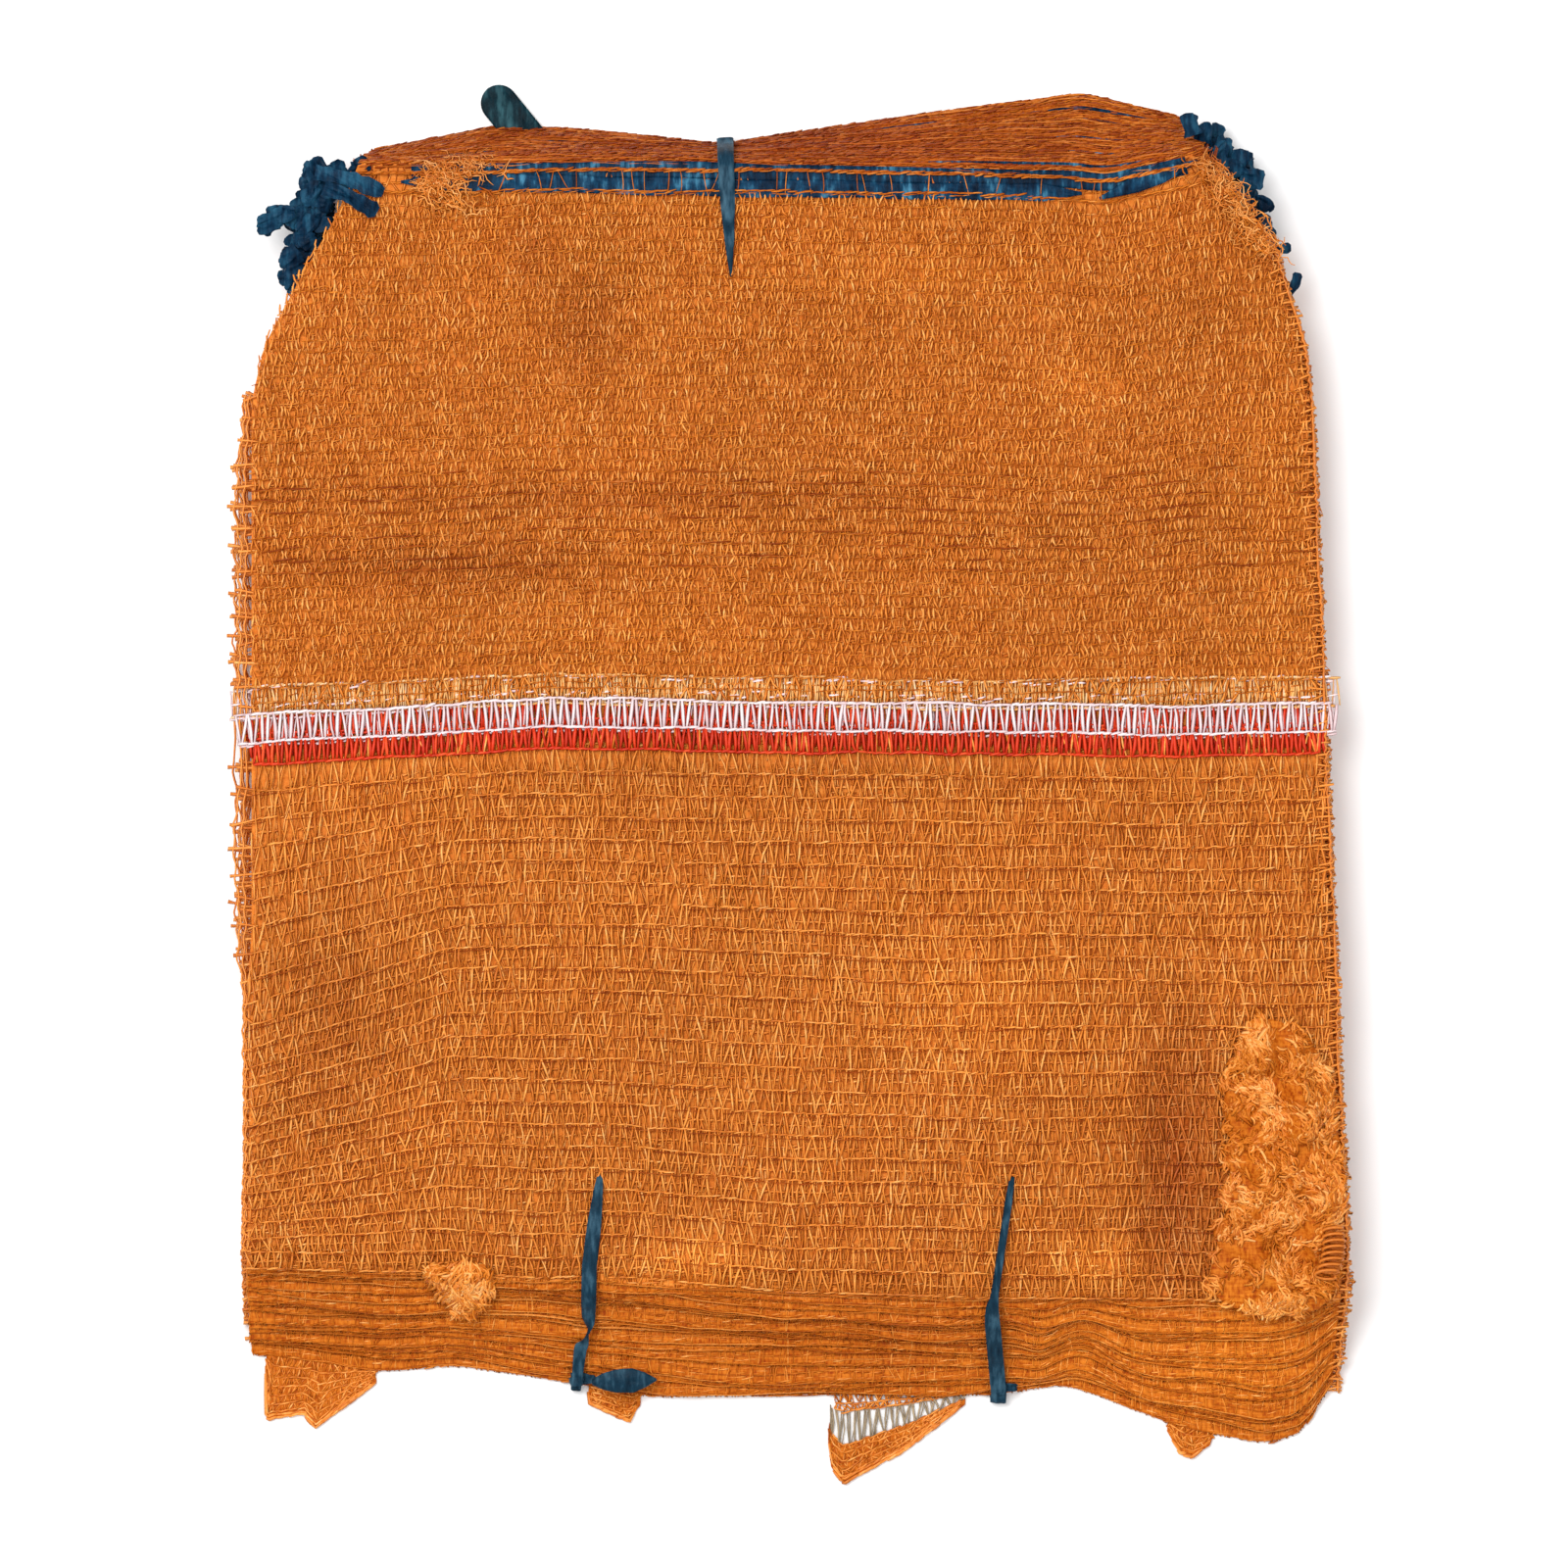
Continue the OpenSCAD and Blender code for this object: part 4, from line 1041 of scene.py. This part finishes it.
def right_seam():
    """Overlocked selvedge: loops of yarn wrapped round the edge, held by a chain."""
    build, node = Build(), "side_seams_right"
    for k in range(1, BAGS + 1):
        draw = chance(840 + k)
        low_end = float(fold_edge(k, 212.0)) + 3
        y = np.arange(low_end, 212, 1.05)
        count = len(y)
        turn = np.arange(count) % 4
        reach = np.where((turn == 0) | (turn == 3), -3.5 + draw.uniform(-1, 1, count),
                         2.2 + draw.uniform(-1.6, 1.4, count))
        x = right_side(y) + reach + draw.normal(0, 0.35, count) + 0.9 * noise(y, k * 30, 9, 44)
        x = x + 0.9 * draw.normal(0, 1, count) * np.clip((-120 - y) / 40, 0, 1)
        z = pile_z(right_side(y), y, mid_z(k) + np.where(turn < 2, 0.75, -0.75))
        path = xyz(x, y + draw.normal(0, 0.7, count), z)
        size = draw.uniform(0.8, 1.3, count)
        build.strands(path, 0.95 * size, 0.6 * size)
        y = np.arange(low_end, 212, 1.6)
        x = right_side(y) + 1.6 + 0.4 * np.sin(y * 1.9) + 0.6 * noise(y, k * 7, 12, 43)
        build.strands(xyz(x, y, pile_z(right_side(y), y, mid_z(k) + 0.5)), 1.2 + 0.3 * np.sin(y * 3.8), 0.7)
    add_piece(build, node + "_knit", node, [SEAM_YARN])


def flap(side, lines, seed, open_course=None):
    """A loose bag corner: courses between the hinge line and its lower edge."""
    (hx, hy, heading), outline = FLAPS[side]
    xs, ys = zip(*outline)
    along, down = headed(heading), headed(heading + 90)

    def place(u, v):
        depth = np.interp(u, xs, ys)
        y = 4.0 + v * (depth - 4.0)
        x = u + 0.5 * noise(u, v * 20, 9, seed)
        z = 0.9 + 0.25 * (noise(u, y, 12, seed + 1) + 1) + 0.5 * np.clip(v - 0.4, 0, 1)
        return xyz(hx + x * along[0] + y * down[0], hy + x * along[1] + y * down[1], z)

    def ends(v):
        return xs[0] + 0 * v + 0.2, xs[-1] - 2.5 * v
    build = Build()
    first = lines[open_course + 1] if open_course else 0.0
    u, v = np.meshgrid(np.linspace(xs[-1] - 1.5, xs[0] + 0.2, 50), np.linspace(first, 1, 16), indexing="ij")
    # A sheet of the painted-shade fill under the rungs, dark between them
    base = place(u, v) - np.array([0, 0, 0.35])
    build.sheet(base + np.array([0, 0, 0.2]), base - np.array([0, 0, 0.2]), 1)
    for i, (low, high) in enumerate(zip(lines, lines[1:])):
        wide = i == open_course
        stretch = lambda u, v, low=low, high=high: place(u, low + (high - low) * v)
        # The open course's rungs take the grey painted-shade yarn
        for again in range(3 if wide else 2):
            add_rungs(build, stretch, [0], lambda v: ends(v + low), seed + 3 * i + 40 * again,
                      step=2.2 if wide else 2.0, width=0.6 if wide else 0.8, jitter=0.4,
                      slot=2 if wide else 3 * again, cut=0 if wide else 0.1)
    add_chains(build, place, lines, ends, seed + 50, width=0.9, mess=0.006, slot=3)
    for depth in (0.955, 1.0):
        add_chains(build, place, [depth], ends, seed + 60, width=1.4, thick=1.0, slot=3)
    return build


def flaps():
    """The loose bag corners. Each is both walls of its bag, folded along its lower edge."""
    plans = {
        "left": ("left_corner", [0, 0.2, 0.36, 0.5, 0.64, 0.78, 0.9], 900, None, (0.050, 0.060), 1.0),
        "centre": ("centre_corner", [0, 0.3, 0.5, 0.7, 0.87], 910, None, (0.025, 0.028), 1.0),
        "mid": ("mid_corner", [0, 0.16, 0.24, 0.6, 0.68, 0.78, 0.86, 0.93], 920, 2, (0.056, 0.074), 0.65),
        "right": (None, [0, 0.35, 0.6, 0.8], 930, None, (0.021, 0.026), 1.0),
    }
    for side, (body, lines, seed, open_course, flat, share) in plans.items():
        node = "corner_flap_" + side
        obj = add_piece(flap(side, lines, seed, open_course), node + "_knit", node,
                        [LOW_SHADE_YARN, SHADE_FILL, GREY_SHADE_YARN, NET_YARN], None if body else "bundle")
        if body:
            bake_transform(obj)


def heap(name, outline, high, seed, count, cracked, coil=False):
    """A bunched bit of net: short curly yarns over a lumpy mound. outline is [y, left x, right x]."""
    ys, lefts, rights = (np.array(column, float) for column in zip(*outline))

    def sides(y):
        return np.interp(-y, -ys, lefts), np.interp(-y, -ys, rights)

    def place(a, b):
        y = ys[0] + b * (ys[-1] - ys[0])
        left, right = sides(y)
        x = left + a * (right - left) + (1.5 - 0.9 * a) * noise(a * 30, y, 7, seed) * EDGE_TEAR
        mound = np.clip(4 * a * (1 - a) * 1.6, 0, 1) * np.clip(4 * b * (1 - b) * 2.5, 0, 1)
        lumps = 0.45 + 0.7 * noise(x * 1.6 + y * 0.3, y * 0.7, 15, seed + 4)
        lumps = lumps + 0.55 * noise(x, y, 6.5, seed + 5)
        return xyz(x, y, top_z(x, y) + 0.4 + high * mound * np.maximum(lumps, 0.05))
    build, draw = Build(), chance(seed)
    grid_a, grid_b = np.meshgrid(np.linspace(0, 1, 50), np.linspace(0, 1, 80), indexing="ij")
    top = place(grid_a, grid_b)
    # The base sheet takes the painted-shade fill, dark where the strands leave cracks
    build.sheet(top, top - np.array([0, 0, 0.9]), 1)
    a, b = draw.uniform(-0.04, 1.0, count), draw.uniform(0.0, 1.0, count)
    spot = place(a, b)
    crack = noise(spot[:, 0], spot[:, 1], 4.2, seed + 8) + 0.5 * noise(spot[:, 0], spot[:, 1], 12, seed + 9)
    spot = spot[crack > cracked - 0.5 * draw.uniform(0, 1, count)]
    px, py, count = spot[:, 0], spot[:, 1], len(spot)
    turn = np.radians(90 + 100 * noise(px, py, 7, seed + 6) + draw.normal(0, 26, count))
    half = np.where(draw.uniform(0, 1, count) < 0.06, 4.2, draw.uniform(1.2, 3.0, count))[:, None]
    s = np.linspace(-1, 1, 5)[None, :]
    curl = draw.normal(0, 1.2, count)[:, None] * (s * s - 0.5)
    x, y = curls(px, py, half, turn, curl, s)
    left, right = sides(y)
    across = np.clip((x - left) / np.maximum(right - left, 1), 0, 1)
    z = place(across, np.clip((y - ys[0]) / (ys[-1] - ys[0]), 0, 1))[..., 2]
    path = xyz(x, y, z + 0.35 + draw.uniform(0, 0.8, count)[:, None] * (1 - s * s))
    size = draw.uniform(0.8, 1.7, count)[:, None] * (1 - 0.4 * s * s)
    twist = draw.normal(0, 0.5, count)[:, None]
    # Each strand takes the darker, plain or paler copy of the yarn by a noisy pick: partly random colour,
    # partly painted shade and painted highlight
    tone = noise(px, py, 10, seed + 12) + draw.normal(0, 0.45, count)
    for slot, low, high in ((2, -9, 0.0), (0, 0.0, 0.8), (3, 0.8, 9)):
        part = (tone >= low) & (tone < high)
        build.strands(path[part], size[part], 0.45 * size[part], 1.0, twist[part], slot)
    if coil:
        add_coil(build)
    obj = add_piece(build, name + "_knit", name, [NET_YARN, SHADE_FILL, LOW_SHADE_YARN, HIGHLIGHT_YARN])


def add_coil(build):
    """The rolled selvedge that lies on the bunch like a small spring."""
    s = np.linspace(0, 1, 130)
    turns = 8 * 2 * math.pi * s
    x = 214.5 - 3.5 * s + 4.2 * np.cos(turns) + 2.0 * np.sin(s * 3)
    y = -174 - 19 * s + 1.2 * np.sin(turns)
    z = top_z(213.0, -184.0) + 5.2 + 2.2 * np.sin(turns)
    build.strands(xyz(x, y, z), 1.5, 1.0)


def crumples():
    heap("side_bunch", [(-92, 188, 191), (-96, 180, 203), (-112, 173, 214), (-135, 173, 217), (-154, 175, 218),
                        (-181, 169, 219), (-198, 166, 216), (-205, 176, 210), (-208, 190, 203)], 7.0, 950, 6000,
         0.0, coil=True)
    heap("crumpled_corner", [(-188, -141, -117), (-194, -141, -114), (-199, -135, -114), (-205, -131, -118),
                             (-209, -128, -122)], 2.6, 970, 420, -0.5)


# ---- floor, light and camera
def add_object(name, data, place=(0, 0, 0)):
    obj = bpy.data.objects.new(name, data)
    obj.location = place
    bpy.context.scene.collection.objects.link(obj)
    return obj


def add_camera():
    """Straight above the bundle, from far enough to see it almost without perspective."""
    height, view_w, sensor_w, middle_h = 4.0, 0.616, 36, 0.02
    camera = add_object("camera", bpy.data.cameras.new("camera"), (0, 0, height))
    camera.data.sensor_width = sensor_w
    camera.data.lens = sensor_w * (height - middle_h) / view_w
    camera.data.clip_end = 20
    bpy.context.scene.camera = camera


def add_area_light(name, place, size, power):
    light = bpy.data.lights.new(name, "AREA")
    light.shape = "DISK"
    light.size = size
    light.energy = power
    obj = add_object(name, light, place)
    obj.rotation_mode = "QUATERNION"
    obj.rotation_quaternion = (-Vector(place)).to_track_quat("-Z", "Y")


def add_studio():
    """A pale floor just under the bundle, even daylight and two soft lamps."""
    mesh, half, z = bpy.data.meshes.new("floor"), 6.0, -0.0002
    corners = [(-half, -half, z), (half, -half, z), (half, half, z), (-half, half, z)]
    mesh.from_pydata(corners, [], [(0, 1, 2, 3)])
    material, _, shader = new_material("floor_pale", 0.8)
    shader.inputs["Base Color"].default_value = (0.93, 0.93, 0.93, 1)
    mesh.materials.append(material)
    add_object("floor", mesh)
    world = bpy.data.worlds.new("studio")
    world.use_nodes = True
    sky = world.node_tree.nodes["Background"]
    sky.inputs["Color"].default_value = (1, 1, 1, 1)
    sky.inputs["Strength"].default_value = 0.68
    bpy.context.scene.world = world
    add_area_light("key", (-0.6, 0.55, 2.0), 1.2, 38)
    add_area_light("fill", (1.0, -0.6, 2.0), 1.4, 10)
    bpy.context.scene.view_settings.view_transform = "Standard"


add_camera()
add_studio()
top_bag()
for bag in range(2, BAGS + 1):
    lower_bag(bag)
stripes()
drawstrings()
string_end()
tape_tails()
pull_loop()
ties()
left_seam()
right_seam()
flaps()
crumples()
